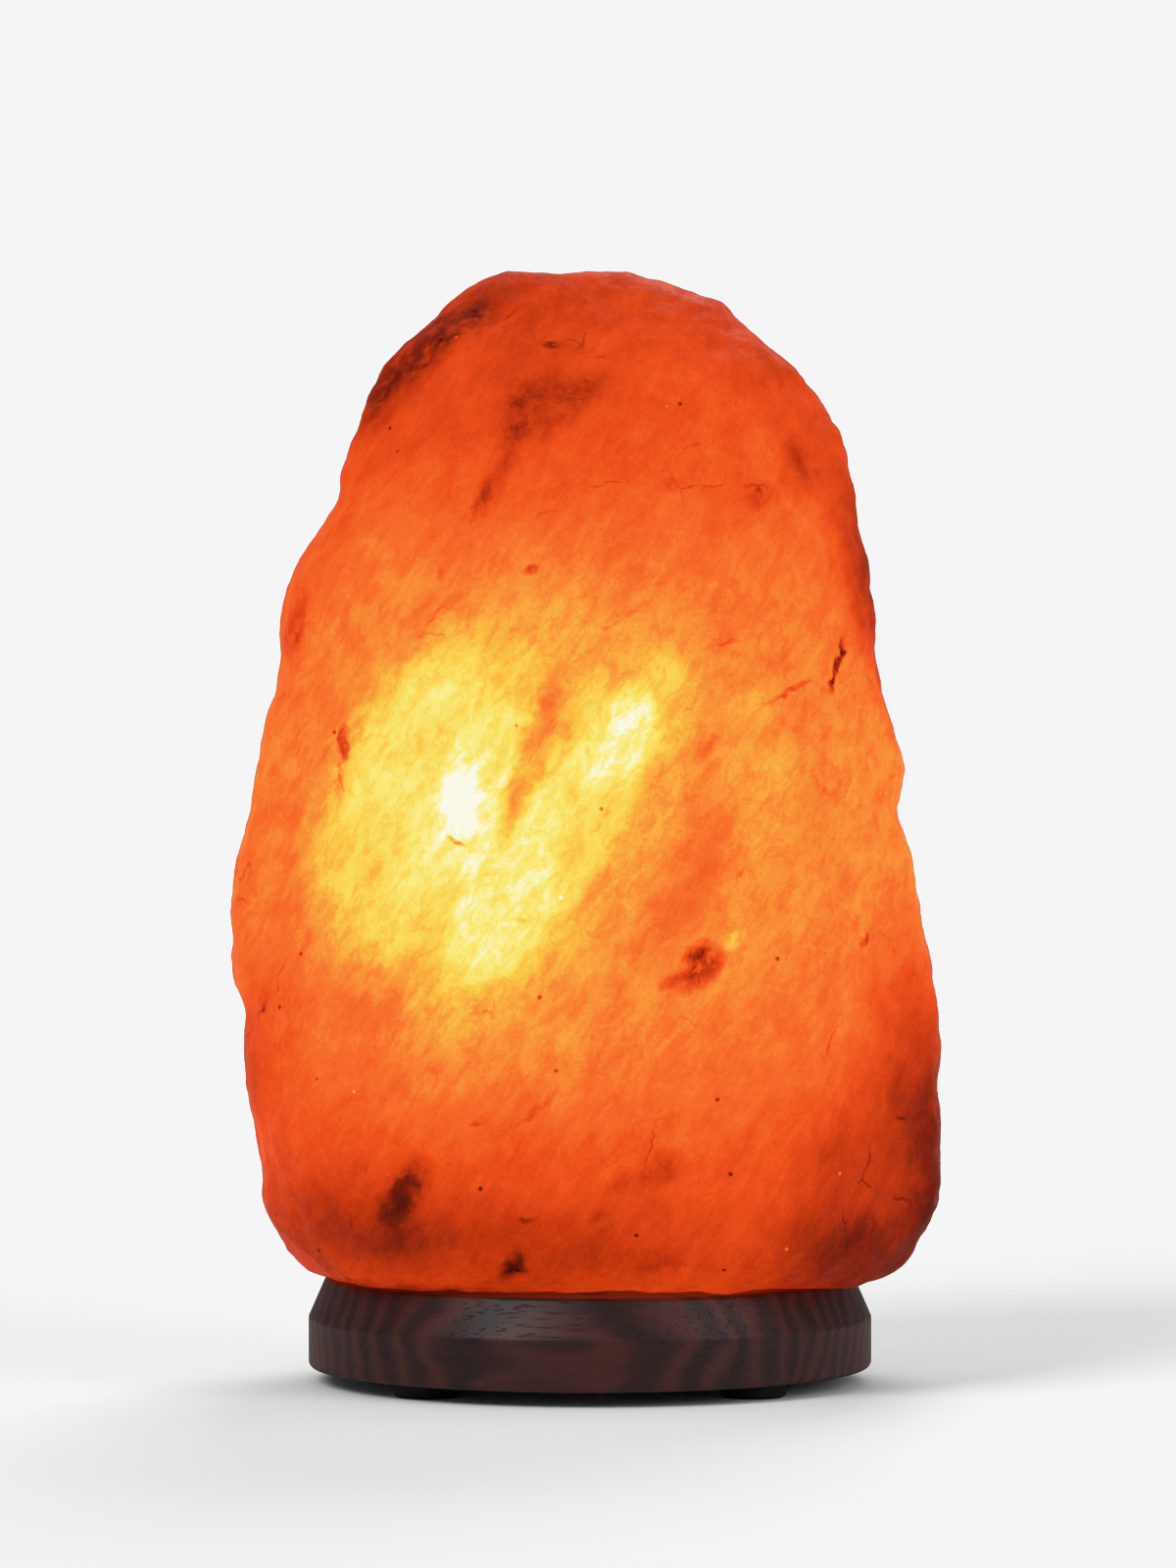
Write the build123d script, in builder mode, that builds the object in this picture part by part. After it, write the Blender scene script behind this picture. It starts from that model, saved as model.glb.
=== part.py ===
"""Salt crystal lamp.

A hand-hewn block of orange rock salt stands on a turned, dark-stained wooden base with four
rubber feet. The block is drilled from below. A small-screw lamp holder with a candle bulb is
pushed up through the base into that cavity, and two sprung clip arms grip the hole.

Frame: millimetres, +Z up, front towards -Y. The origin is on the table, on the axis of the
holder and the cavity. The cord leaves at the rear, +Y, through a groove under the base.
"""

import math
import os
from typing import NamedTuple

from build123d import *

os.makedirs("parts", exist_ok=True)

# ---------------------------------------------------------------- driving dimensions, mm

# Rubber feet and their screws
FOOT_COUNT = 4
FOOT_HEIGHT = 3.0
FOOT_RADIUS = 6.5
FOOT_EDGE_CHAMFER = 0.6
FOOT_CIRCLE_RADIUS = 45.0
FOOT_SCREW_RADIUS = 1.3
FOOT_SCREW_HEAD_RADIUS = 2.8
FOOT_SCREW_HEAD_HEIGHT = 1.4
FOOT_SCREW_REACH_LENGTH = 7.0
FOOT_SCREW_HEAD_SINK_DEPTH = 0.4

# Wooden base
BASE_THICKNESS = 18.0
BASE_RADIUS = 56.0
BASE_TOP_RADIUS = 52.5
BASE_BEVEL_HEIGHT = 8.0
BASE_EDGE_ROUND = 1.2
BASE_HOLE_RADIUS = 21.0
RECESS_RADIUS = 26.0
RECESS_DEPTH = 10.0
GROOVE_WIDTH = 9.0
GROOVE_DEPTH = 9.0

# Screws and plugs that hold the crystal down
CRYSTAL_SCREW_ANGLES = (0, 180, 270)
CRYSTAL_SCREW_CIRCLE_RADIUS = 38.0
CRYSTAL_SCREW_RADIUS = 2.0
CRYSTAL_SCREW_HEAD_RADIUS = 4.0
CRYSTAL_SCREW_LENGTH = 34.0
CRYSTAL_SCREW_SINK_DEPTH = 0.5
PLUG_RADIUS = 3.2
PLUG_LENGTH = 20.0
PLUG_RIB_HEIGHT = 0.35
PLUG_HOLE_SPARE_LENGTH = 2.0
CROSS_WIDTH = 0.8
CROSS_DEPTH = 0.9

# Lamp holder
PLATE_THICKNESS = 1.0
PLATE_SIDE_CLEARANCE = 1.0
PLATE_SEAT_GAP = 0.3
NIPPLE_RADIUS = 5.0
NIPPLE_BORE_RADIUS = 3.5
NIPPLE_GRIP_LENGTH = 6.0
NIPPLE_TAIL_LENGTH = 1.0
NUT_WIDTH = 14.0
NUT_THICKNESS = 2.5
WASHER_RADIUS = 8.0
WASHER_THICKNESS = 0.8
HOLDER_RADIUS = 13.5
HOLDER_EDGE = 1.0
CAP_HEIGHT = 20.0
CAP_FLOOR_THICKNESS = 3.0
CAP_WALL_THICKNESS = 1.7
NECK_HEIGHT = 5.0
NECK_WALL = 1.5
BOSS_RADIUS = 8.0
BOSS_HEIGHT = 7.0
PARTING_GAP = 0.2
SLEEVE_HEIGHT = 29.0
SLEEVE_WALL = 1.6
SLEEVE_LIP = 2.0
SLEEVE_MOUTH_RADIUS = 9.2
BLOCK_THICKNESS = 7.3
CLAMP_INNER_DISTANCE = 2.5
CLAMP_OUTER_DISTANCE = 9.3
CLAMP_WIDTH = 5.0
CLAMP_HEIGHT = 5.0
TERMINAL_SCREW_CIRCLE_RADIUS = 6.0
TERMINAL_SCREW_RADIUS = 1.2
TERMINAL_HEAD_RADIUS = 2.1
TERMINAL_HEAD_HEIGHT = 1.5
SLOT_WIDTH = 0.6
SLOT_DEPTH = 0.6
CONTACT_THICKNESS = 0.4
CONTACT_WIDTH = 3.6
CONTACT_GAP = 0.2
TONGUE_HEIGHT = 1.1
CENTRE_RIVET_DISTANCE = 3.0
SHELL_RIVET_DISTANCE = 6.0
RIVET_RADIUS = 0.6
RIVET_HEAD_RADIUS = 0.95
RIVET_HEAD_HEIGHT = 0.4

# Small lamp thread, on the holder's screw shell and on the bulb's cap
THREAD_PITCH = 2.822
BULB_THREAD_CORE = 6.15
BULB_THREAD_CREST = 6.85
SHELL_THREAD_ROOT = 7.1
SHELL_THREAD_CREST = 6.4
SHELL_WALL = 0.4
SHELL_FLANGE_INNER = 5.0
THREAD_ROOT_WIDTH = 1.5
THREAD_CREST_WIDTH = 0.7
UNSCREW_TURNS = 4.0

# Candle bulb
CAP_SHEET = 0.5
TIP_RADIUS = 2.2
TIP_HEIGHT = 1.4
INSULATOR_HEIGHT = 3.4
INSULATOR_LOWER_RADIUS = 3.0
INSULATOR_OVERLAP = 1.4
CAP_THREAD_LENGTH = 13.5
CAP_SKIRT_RADIUS = 8.5
CAP_SKIRT_HEIGHT = 7.5
CAP_FLARE_HEIGHT = 1.6
GLASS_WALL = 0.7
GLASS_IN_CAP_LENGTH = 5.0
BULB_RADIUS = 17.5
GLASS_HEIGHT = 79.0
BELLY_SHARE = 0.5
STEM_RADIUS = 2.8
STEM_HEIGHT = 23.0
STEM_FLARE_HEIGHT = 6.0
EXHAUST_RADIUS = 1.6
EXHAUST_LENGTH = 10.0
LEAD_RADIUS = 0.35
LEAD_SPREAD_DISTANCE = 8.0
LEAD_FOOT_DISTANCE = 2.0
FILAMENT_STANDOFF_HEIGHT = 14.0
FILAMENT_COIL_RADIUS = 0.7
FILAMENT_WIRE_RADIUS = 0.12
FILAMENT_PITCH = 0.8
SUPPORT_RADIUS = 0.2

# Sprung clip arms
CLIP_SHEET = 0.8
CLIP_WIDTH = 7.0
CLIP_EYE_WIDTH = 3.2
CLIP_EYE_RADIUS = 1.5
CLIP_PIN_RADIUS = 0.75
CLIP_PIN_DISTANCE = 16.8
CLIP_PIN_HEIGHT = 1.9
CLIP_HOLE_CLEARANCE = 0.3
CLIP_KNEE_HEIGHT = 7.0
CLIP_ARM_HEIGHT = 32.0
CLIP_TIP_DISTANCE = 18.6
CLIP_CURL_LENGTH = 2.2
EAR_INNER_DISTANCE = 4.4
EAR_HALF_LENGTH = 1.9
BRACKET_INNER_DISTANCE = 14.2
CLIP_SPRING_RADIUS = 1.2
CLIP_SPRING_WIRE = 0.22
CLIP_SPRING_TURNS = 4
CLIP_SPRING_PITCH = 0.52

# Salt crystal
CRYSTAL_HEIGHT = 200.0
CRYSTAL_WIDTH = 138.4
CRYSTAL_DEPTH = 113.5
OUTLINE_POINTS = 16
OUTLINE_SQUARENESS = 3.0

# Fits
FIT = 0.05
LOOSE_FIT = 0.1
CAVITY_RADIUS = 25.0
CAVITY_HEADROOM = 3.0
CAVITY_MOUTH_CHAMFER = 1.5
CAVITY_END_ROUND = 7.0


class Slice(NamedTuple):
    """One level of the crystal: its height above the base and how far it reaches each way."""

    height: float
    left: float
    right: float
    front: float
    back: float


# The hewn shape's levels, from its sawn foot to its crown, as cut for a block of the height,
# width and depth given above. Left and right follow the outline seen from the front.
CRYSTAL_SLICES = (
    Slice(0.0, 50.5, 54.5, 45.0, 47.0),
    Slice(3.5, 58.0, 62.0, 50.5, 51.5),
    Slice(12.0, 63.5, 67.2, 54.0, 54.5),
    Slice(26.0, 66.3, 69.4, 56.0, 56.0),
    Slice(48.0, 69.0, 69.4, 57.0, 56.5),
    Slice(66.0, 71.0, 66.0, 56.5, 56.0),
    Slice(84.0, 70.4, 63.4, 55.0, 54.5),
    Slice(101.0, 66.6, 61.6, 52.5, 52.0),
    Slice(119.0, 62.2, 57.4, 49.0, 49.0),
    Slice(136.0, 60.2, 55.4, 45.5, 46.0),
    Slice(148.0, 53.8, 53.6, 42.5, 43.0),
    Slice(160.0, 49.4, 51.2, 38.5, 39.5),
    Slice(172.0, 46.0, 47.2, 33.0, 34.5),
    Slice(182.0, 41.0, 39.8, 27.0, 28.5),
    Slice(189.5, 32.0, 30.2, 20.5, 22.0),
    Slice(195.5, 24.6, 21.5, 14.5, 16.0),
    Slice(200.0, 17.0, 9.5, 9.0, 10.0),
)


class KnollRow(NamedTuple):
    """Broad knobs on the crystal, one step apart at one height; a negative rise is a hollow."""

    height: float
    first_turn: float
    rises: tuple


# The knobs and hollows of the front, then those of the back, for the same size of block.
KNOLL_STEP = 22.5
KNOLL_SPREAD = 24.0
KNOLL_ROWS = (
    KnollRow(26.0, 225.0, (1.5, -1.7, 1.9, -1.4, 1.6)),
    KnollRow(48.0, 225.0, (-1.3, 1.8, -1.6, 1.7, -1.5)),
    KnollRow(66.0, 225.0, (1.6, -1.4, 1.5, -1.8, 1.4)),
    KnollRow(84.0, 225.0, (-1.7, 1.6, -1.8, 1.5, -1.3)),
    KnollRow(101.0, 225.0, (1.4, -1.8, 1.7, -1.5, 1.8)),
    KnollRow(119.0, 225.0, (-1.5, 1.5, -1.6, 1.8, -1.6)),
    KnollRow(136.0, 225.0, (1.7, -1.6, 1.4, -1.7, 1.5)),
    KnollRow(160.0, 247.5, (1.3, -1.5, 1.4)),
    KnollRow(26.0, 45.0, (-1.6, 1.5, -1.8, 1.7, -1.4)),
    KnollRow(48.0, 45.0, (1.8, -1.5, 1.6, -1.4, 1.7)),
    KnollRow(66.0, 45.0, (-1.4, 1.7, -1.5, 1.8, -1.6)),
    KnollRow(84.0, 45.0, (1.5, -1.6, 1.8, -1.7, 1.4)),
    KnollRow(101.0, 45.0, (-1.8, 1.4, -1.7, 1.6, -1.5)),
    KnollRow(119.0, 45.0, (1.6, -1.7, 1.5, -1.5, 1.8)),
    KnollRow(136.0, 45.0, (-1.5, 1.8, -1.4, 1.6, -1.7)),
    KnollRow(160.0, 67.5, (-1.4, 1.6, -1.3)),
)


class Facet(NamedTuple):
    """A flat face hewn on the crystal: a point on it, its height above the base and its lean."""

    across: float
    depth: float
    height: float
    normal: tuple


# The flats struck off the block's corners and crown, for the same size of block.
HEWN_FACETS = (
    Facet(49.0, -38.5, 100.0, (0.86, -0.66, 0.14)),
    Facet(54.5, -41.0, 42.0, (0.80, -0.78, -0.04)),
    Facet(-50.0, -39.5, 108.0, (-0.80, -0.72, 0.16)),
    Facet(-31.0, -25.5, 174.0, (-0.60, -0.62, 0.50)),
    Facet(32.5, -25.5, 174.0, (0.62, -0.62, 0.44)),
    Facet(48.0, 42.0, 90.0, (0.76, 0.74, 0.16)),
    Facet(-50.0, 42.0, 70.0, (-0.72, 0.78, 0.04)),
    Facet(-30.0, 36.0, 158.0, (-0.50, 0.76, 0.42)),
    Facet(18.0, 38.0, 164.0, (0.30, 0.80, 0.50)),
    Facet(0.0, 53.0, 92.0, (0.10, 0.98, 0.16)),
)

# ---------------------------------------------------------------- levels worked out from them

BASE_UNDERSIDE = FOOT_HEIGHT
BASE_TOP = BASE_UNDERSIDE + BASE_THICKNESS
RECESS_CEILING = BASE_UNDERSIDE + RECESS_DEPTH
PLATE_TOP = RECESS_CEILING - PLATE_SEAT_GAP
PLATE_BOTTOM = PLATE_TOP - PLATE_THICKNESS
PLATE_RADIUS = RECESS_RADIUS - PLATE_SIDE_CLEARANCE
WASHER_BOTTOM = PLATE_BOTTOM - WASHER_THICKNESS
NUT_BOTTOM = WASHER_BOTTOM - NUT_THICKNESS
NIPPLE_BOTTOM = NUT_BOTTOM - NIPPLE_TAIL_LENGTH
NIPPLE_TOP = PLATE_TOP + NIPPLE_GRIP_LENGTH
CAP_TOP = PLATE_TOP + CAP_HEIGHT
NECK_TOP = CAP_TOP + NECK_HEIGHT
SLEEVE_BOTTOM = CAP_TOP + PARTING_GAP
SLEEVE_TOP = SLEEVE_BOTTOM + SLEEVE_HEIGHT
SLEEVE_INNER = HOLDER_RADIUS - SLEEVE_WALL
NECK_RADIUS = SLEEVE_INNER - LOOSE_FIT
BLOCK_TOP = NECK_TOP + BLOCK_THICKNESS
BLOCK_RADIUS = SLEEVE_INNER - LOOSE_FIT
SHELL_TOP = SLEEVE_TOP - SLEEVE_LIP - LOOSE_FIT
SHELL_OUTER = SHELL_THREAD_ROOT + SHELL_WALL
TONGUE_TOP = BLOCK_TOP + CONTACT_THICKNESS + TONGUE_HEIGHT
TIP_BOTTOM = TONGUE_TOP + CONTACT_GAP
INSULATOR_BOTTOM = TIP_BOTTOM + TIP_HEIGHT
INSULATOR_TOP = INSULATOR_BOTTOM + INSULATOR_HEIGHT
BULB_CAP_BOTTOM = INSULATOR_TOP - INSULATOR_OVERLAP
SKIRT_BOTTOM = BULB_CAP_BOTTOM + CAP_THREAD_LENGTH
SKIRT_TOP = SKIRT_BOTTOM + CAP_SKIRT_HEIGHT
GLASS_BOTTOM = SKIRT_TOP - GLASS_IN_CAP_LENGTH
GLASS_TOP = GLASS_BOTTOM + GLASS_HEIGHT
GLASS_NECK_RADIUS = CAP_SKIRT_RADIUS - CAP_SHEET - LOOSE_FIT
STEM_TOP = GLASS_BOTTOM + STEM_HEIGHT
FILAMENT_LEVEL = STEM_TOP + FILAMENT_STANDOFF_HEIGHT
UNSCREW_RISE = UNSCREW_TURNS * THREAD_PITCH
CAVITY_TOP = GLASS_TOP + UNSCREW_RISE + CAVITY_HEADROOM
CLIP_PIN_LEVEL = PLATE_TOP + CLIP_SHEET + CLIP_PIN_HEIGHT
# Half the arm's width makes its corners stand further out than its middle.
CLIP_KNEE_DISTANCE = (
    math.sqrt((BASE_HOLE_RADIUS - CLIP_HOLE_CLEARANCE) ** 2 - (CLIP_WIDTH / 2) ** 2)
    - CLIP_SHEET / 2
)


def write(piece, name):
    """Names a finished piece and writes it to its own file."""
    piece.part.label = name
    export_step(piece.part, f"parts/{name}.step")


def screw_place(angle):
    """Where a crystal screw stands, seen from above."""
    turn = math.radians(angle)
    return CRYSTAL_SCREW_CIRCLE_RADIUS * math.cos(turn), CRYSTAL_SCREW_CIRCLE_RADIUS * math.sin(turn), 0


def ring(outer, inner, bottom, top):
    """A plain ring on the lamp's axis."""
    with BuildPart() as hoop:
        with BuildSketch(Plane.XY.offset(bottom)):
            Circle(outer)
            Circle(inner, mode=Mode.SUBTRACT)
        extrude(amount=top - bottom)
    return hoop.part


# ---------------------------------------------------------------- rubber feet

FOOT_PLACES = PolarLocations(FOOT_CIRCLE_RADIUS, FOOT_COUNT, start_angle=180 / FOOT_COUNT)
FOOT_HEAD_SEAT = FOOT_SCREW_HEAD_SINK_DEPTH + FOOT_SCREW_HEAD_HEIGHT

with BuildPart() as rubber_feet:
    with BuildSketch():
        with FOOT_PLACES:
            Circle(FOOT_RADIUS)
    extrude(amount=FOOT_HEIGHT)
    chamfer(rubber_feet.edges().group_by(Axis.Z)[0], FOOT_EDGE_CHAMFER)
    with BuildSketch():
        with FOOT_PLACES:
            Circle(FOOT_SCREW_HEAD_RADIUS + LOOSE_FIT)
    extrude(amount=FOOT_HEAD_SEAT, mode=Mode.SUBTRACT)
    with BuildSketch():
        with FOOT_PLACES:
            Circle(FOOT_SCREW_RADIUS + LOOSE_FIT)
    extrude(amount=FOOT_HEIGHT, mode=Mode.SUBTRACT)
write(rubber_feet, "rubber_feet")

with BuildPart() as foot_screws:
    with BuildSketch(Plane.XY.offset(FOOT_SCREW_HEAD_SINK_DEPTH)):
        with FOOT_PLACES:
            Circle(FOOT_SCREW_HEAD_RADIUS)
    extrude(amount=FOOT_SCREW_HEAD_HEIGHT)
    with BuildSketch(Plane.XY.offset(FOOT_HEAD_SEAT)):
        with FOOT_PLACES:
            Circle(FOOT_SCREW_RADIUS)
    extrude(amount=FOOT_HEIGHT - FOOT_HEAD_SEAT + FOOT_SCREW_REACH_LENGTH)
    chamfer(
        foot_screws.edges().group_by(Axis.Z)[-1], FOOT_SCREW_RADIUS / 2, FOOT_SCREW_RADIUS
    )
    with BuildSketch(Plane.XY.offset(FOOT_SCREW_HEAD_SINK_DEPTH)):
        with FOOT_PLACES:
            Rectangle(FOOT_SCREW_HEAD_RADIUS, CROSS_WIDTH)
            Rectangle(CROSS_WIDTH, FOOT_SCREW_HEAD_RADIUS)
    extrude(amount=CROSS_DEPTH, mode=Mode.SUBTRACT)
write(foot_screws, "foot_screws")

# ---------------------------------------------------------------- wooden base

SCREW_HEAD_SEAT = BASE_UNDERSIDE + CRYSTAL_SCREW_SINK_DEPTH
SCREW_CONE = CRYSTAL_SCREW_HEAD_RADIUS - CRYSTAL_SCREW_RADIUS

with BuildPart() as wooden_base:
    with BuildSketch(Plane.XZ):
        with BuildLine():
            Polyline(
                (0, BASE_UNDERSIDE),
                (BASE_RADIUS, BASE_UNDERSIDE),
                (BASE_RADIUS, BASE_TOP - BASE_BEVEL_HEIGHT),
                (BASE_TOP_RADIUS, BASE_TOP),
                (0, BASE_TOP),
                close=True,
            )
        make_face()
    revolve(axis=Axis.Z)
    fillet(wooden_base.edges().filter_by(GeomType.CIRCLE), BASE_EDGE_ROUND)
    with BuildSketch(Plane.XY.offset(BASE_UNDERSIDE)):
        Circle(RECESS_RADIUS)
    extrude(amount=RECESS_DEPTH, mode=Mode.SUBTRACT)
    with BuildSketch(Plane.XY.offset(BASE_UNDERSIDE)):
        Circle(BASE_HOLE_RADIUS)
    extrude(amount=BASE_THICKNESS, mode=Mode.SUBTRACT)
    # Cord groove from the recess to the rear edge, with a round ceiling
    with BuildSketch(Plane.XZ):
        with Locations((0, BASE_UNDERSIDE + GROOVE_DEPTH - GROOVE_WIDTH / 2)):
            Circle(GROOVE_WIDTH / 2)
        with Locations((0, BASE_UNDERSIDE)):
            Rectangle(
                GROOVE_WIDTH,
                GROOVE_DEPTH - GROOVE_WIDTH / 2,
                align=(Align.CENTER, Align.MIN),
            )
    extrude(amount=-BASE_RADIUS, mode=Mode.SUBTRACT)
    # Pilot holes for the feet, and clearance holes for the crystal's screws
    with BuildSketch(Plane.XY.offset(BASE_UNDERSIDE)):
        with FOOT_PLACES:
            Circle(FOOT_SCREW_RADIUS + FIT)
    extrude(amount=FOOT_SCREW_REACH_LENGTH + FIT, mode=Mode.SUBTRACT)
    for angle in CRYSTAL_SCREW_ANGLES:
        with Locations(Pos(0, 0, BASE_UNDERSIDE) * Pos(*screw_place(angle)) * Rot(180, 0, 0)):
            CounterSinkHole(
                CRYSTAL_SCREW_RADIUS + FIT,
                CRYSTAL_SCREW_HEAD_RADIUS + CRYSTAL_SCREW_SINK_DEPTH + FIT,
                depth=BASE_THICKNESS,
                counter_sink_angle=90,
            )
write(wooden_base, "wooden_base")

with BuildPart() as crystal_screws:
    with BuildSketch(Plane.XZ) as screw_profile:
        with BuildLine():
            Polyline(
                (0, 0),
                (CRYSTAL_SCREW_HEAD_RADIUS, 0),
                (CRYSTAL_SCREW_RADIUS, SCREW_CONE),
                (CRYSTAL_SCREW_RADIUS, CRYSTAL_SCREW_LENGTH - 2 * CRYSTAL_SCREW_RADIUS),
                (0, CRYSTAL_SCREW_LENGTH),
                close=True,
            )
        make_face()
    revolve(axis=Axis.Z)
    with BuildSketch():
        Rectangle(CRYSTAL_SCREW_HEAD_RADIUS, CROSS_WIDTH)
        Rectangle(CROSS_WIDTH, CRYSTAL_SCREW_HEAD_RADIUS)
    extrude(amount=CROSS_DEPTH, mode=Mode.SUBTRACT)
one_screw = crystal_screws.part

with BuildPart() as crystal_screw_set:
    for angle in CRYSTAL_SCREW_ANGLES:
        with Locations(Pos(0, 0, SCREW_HEAD_SEAT) * Pos(*screw_place(angle))):
            add(one_screw)
write(crystal_screw_set, "crystal_screws")

# ---------------------------------------------------------------- salt crystal and its plugs

PLUG_BOTTOM = BASE_TOP + LOOSE_FIT
PLUG_HOLE_RADIUS = PLUG_RADIUS + PLUG_RIB_HEIGHT + FIT

with BuildPart() as one_plug_builder:
    with BuildSketch():
        Circle(PLUG_RADIUS)
        with PolarLocations(PLUG_RADIUS, 4):
            Rectangle(2 * PLUG_RIB_HEIGHT, 2 * PLUG_RIB_HEIGHT)
        Circle(CRYSTAL_SCREW_RADIUS + FIT, mode=Mode.SUBTRACT)
    extrude(amount=PLUG_LENGTH)
one_plug = one_plug_builder.part

with BuildPart() as screw_plugs:
    for angle in CRYSTAL_SCREW_ANGLES:
        with Locations(Pos(0, 0, PLUG_BOTTOM) * Pos(*screw_place(angle))):
            add(one_plug)
write(screw_plugs, "screw_plugs")


PATTERN_HEIGHT = CRYSTAL_SLICES[-1].height
PATTERN_WIDTH = max(cut.left + cut.right for cut in CRYSTAL_SLICES)
PATTERN_DEPTH = max(cut.front + cut.back for cut in CRYSTAL_SLICES)


def slice_level(cut):
    """The height at which a slice lies in a block of the chosen height."""
    return BASE_TOP + cut.height * CRYSTAL_HEIGHT / PATTERN_HEIGHT


def outline_point(cut, turn):
    """A point of one level of the crystal before its knobs are raised, at a turn in degrees."""
    widen, deepen = CRYSTAL_WIDTH / PATTERN_WIDTH / 2, CRYSTAL_DEPTH / PATTERN_DEPTH / 2
    along, across = math.cos(math.radians(turn)), math.sin(math.radians(turn))
    reach = (
        abs(along) ** OUTLINE_SQUARENESS + abs(across) ** OUTLINE_SQUARENESS
    ) ** (-1 / OUTLINE_SQUARENESS)
    return Vector(
        (cut.right - cut.left) * widen + (cut.right + cut.left) * widen * along * reach,
        (cut.back - cut.front) * deepen + (cut.back + cut.front) * deepen * across * reach,
        slice_level(cut),
    )


def slice_at(height):
    """The slice at a height between two of those listed."""
    for below, above in zip(CRYSTAL_SLICES, CRYSTAL_SLICES[1:]):
        if below.height <= height <= above.height:
            share = (height - below.height) / (above.height - below.height)
            return Slice(*(low + share * (high - low) for low, high in zip(below, above)))
    raise ValueError(f"no slice at height {height}")


# Each knob's middle, the way it is raised and how far
KNOLLS = [
    (outline_point(slice_at(row.height), turn), Vector(1, 0, 0).rotate(Axis.Z, turn), rise)
    for row in KNOLL_ROWS
    for turn, rise in (
        (row.first_turn + step * KNOLL_STEP, rise) for step, rise in enumerate(row.rises)
    )
]


def crystal_outline(cut):
    """The points of one level of the crystal, with the knobs and hollows near it."""
    points = []
    for step in range(OUTLINE_POINTS):
        point = outline_point(cut, 360 * step / OUTLINE_POINTS)
        raised = point
        for middle, way, rise in KNOLLS:
            near = max(0, 1 - (point - middle).length / KNOLL_SPREAD)
            raised += way * rise * near**2 * (3 - 2 * near)
        points.append((raised.X, raised.Y))
    return points


def facet_plane(facet):
    """The plane along which a facet is struck off a block of the chosen size."""
    place = (
        facet.across * CRYSTAL_WIDTH / PATTERN_WIDTH,
        facet.depth * CRYSTAL_DEPTH / PATTERN_DEPTH,
        BASE_TOP + facet.height * CRYSTAL_HEIGHT / PATTERN_HEIGHT,
    )
    return Plane(origin=place, z_dir=facet.normal)


with BuildPart() as salt_crystal:
    for cut in CRYSTAL_SLICES:
        with BuildSketch(Plane.XY.offset(slice_level(cut))):
            with BuildLine():
                Spline(*crystal_outline(cut), periodic=True)
            make_face()
    loft()
    for facet in HEWN_FACETS:
        split(bisect_by=facet_plane(facet), keep=Keep.BOTTOM)
    # Drilled cavity with a rounded end and an eased mouth
    with BuildSketch(Plane.XY.offset(BASE_TOP)):
        Circle(CAVITY_RADIUS)
    extrude(amount=CAVITY_TOP - BASE_TOP, mode=Mode.SUBTRACT)
    cavity_rims = salt_crystal.edges().filter_by(GeomType.CIRCLE).sort_by(Axis.Z)
    fillet(cavity_rims[-1], CAVITY_END_ROUND)
    chamfer(cavity_rims[0], CAVITY_MOUTH_CHAMFER)
    for angle in CRYSTAL_SCREW_ANGLES:
        with BuildSketch(Plane.XY.offset(BASE_TOP)):
            with Locations(Pos(*screw_place(angle))):
                Circle(PLUG_HOLE_RADIUS)
        extrude(amount=PLUG_LENGTH + PLUG_HOLE_SPARE_LENGTH, mode=Mode.SUBTRACT)
write(salt_crystal, "salt_crystal")

# ---------------------------------------------------------------- holder: plate, nipple, nut, washer

BRACKET_OUTER_DISTANCE = CLIP_PIN_DISTANCE + EAR_HALF_LENGTH
BRACKET_WIDTH = 2 * (EAR_INNER_DISTANCE + CLIP_SHEET)
BRACKET_RIVET_DISTANCE = BRACKET_INNER_DISTANCE + RIVET_HEAD_RADIUS + LOOSE_FIT

with BuildPart() as holder_plate:
    add(ring(PLATE_RADIUS, NIPPLE_RADIUS + LOOSE_FIT, PLATE_BOTTOM, PLATE_TOP))
    with BuildSketch(Plane.XY.offset(PLATE_BOTTOM)):
        with Locations((-BRACKET_RIVET_DISTANCE, 0), (BRACKET_RIVET_DISTANCE, 0)):
            Circle(RIVET_RADIUS + FIT)
    extrude(amount=PLATE_THICKNESS, mode=Mode.SUBTRACT)
write(holder_plate, "holder_plate")

with BuildPart() as cord_nipple:
    add(ring(NIPPLE_RADIUS, NIPPLE_BORE_RADIUS, NIPPLE_BOTTOM, NIPPLE_TOP))
    chamfer(
        cord_nipple.edges().filter_by(GeomType.CIRCLE).group_by(SortBy.RADIUS)[-1],
        NIPPLE_TAIL_LENGTH / 2,
    )
write(cord_nipple, "cord_nipple")

with BuildPart() as nipple_nut:
    with BuildSketch(Plane.XY.offset(NUT_BOTTOM)):
        RegularPolygon(NUT_WIDTH / 2, 6, major_radius=False)
        Circle(NIPPLE_RADIUS + FIT, mode=Mode.SUBTRACT)
    extrude(amount=NUT_THICKNESS)
write(nipple_nut, "nipple_nut")

with BuildPart() as nipple_washer:
    add(ring(WASHER_RADIUS, NIPPLE_RADIUS + LOOSE_FIT, WASHER_BOTTOM, PLATE_BOTTOM))
write(nipple_washer, "nipple_washer")

# ---------------------------------------------------------------- holder: cap, sleeve, block

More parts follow.
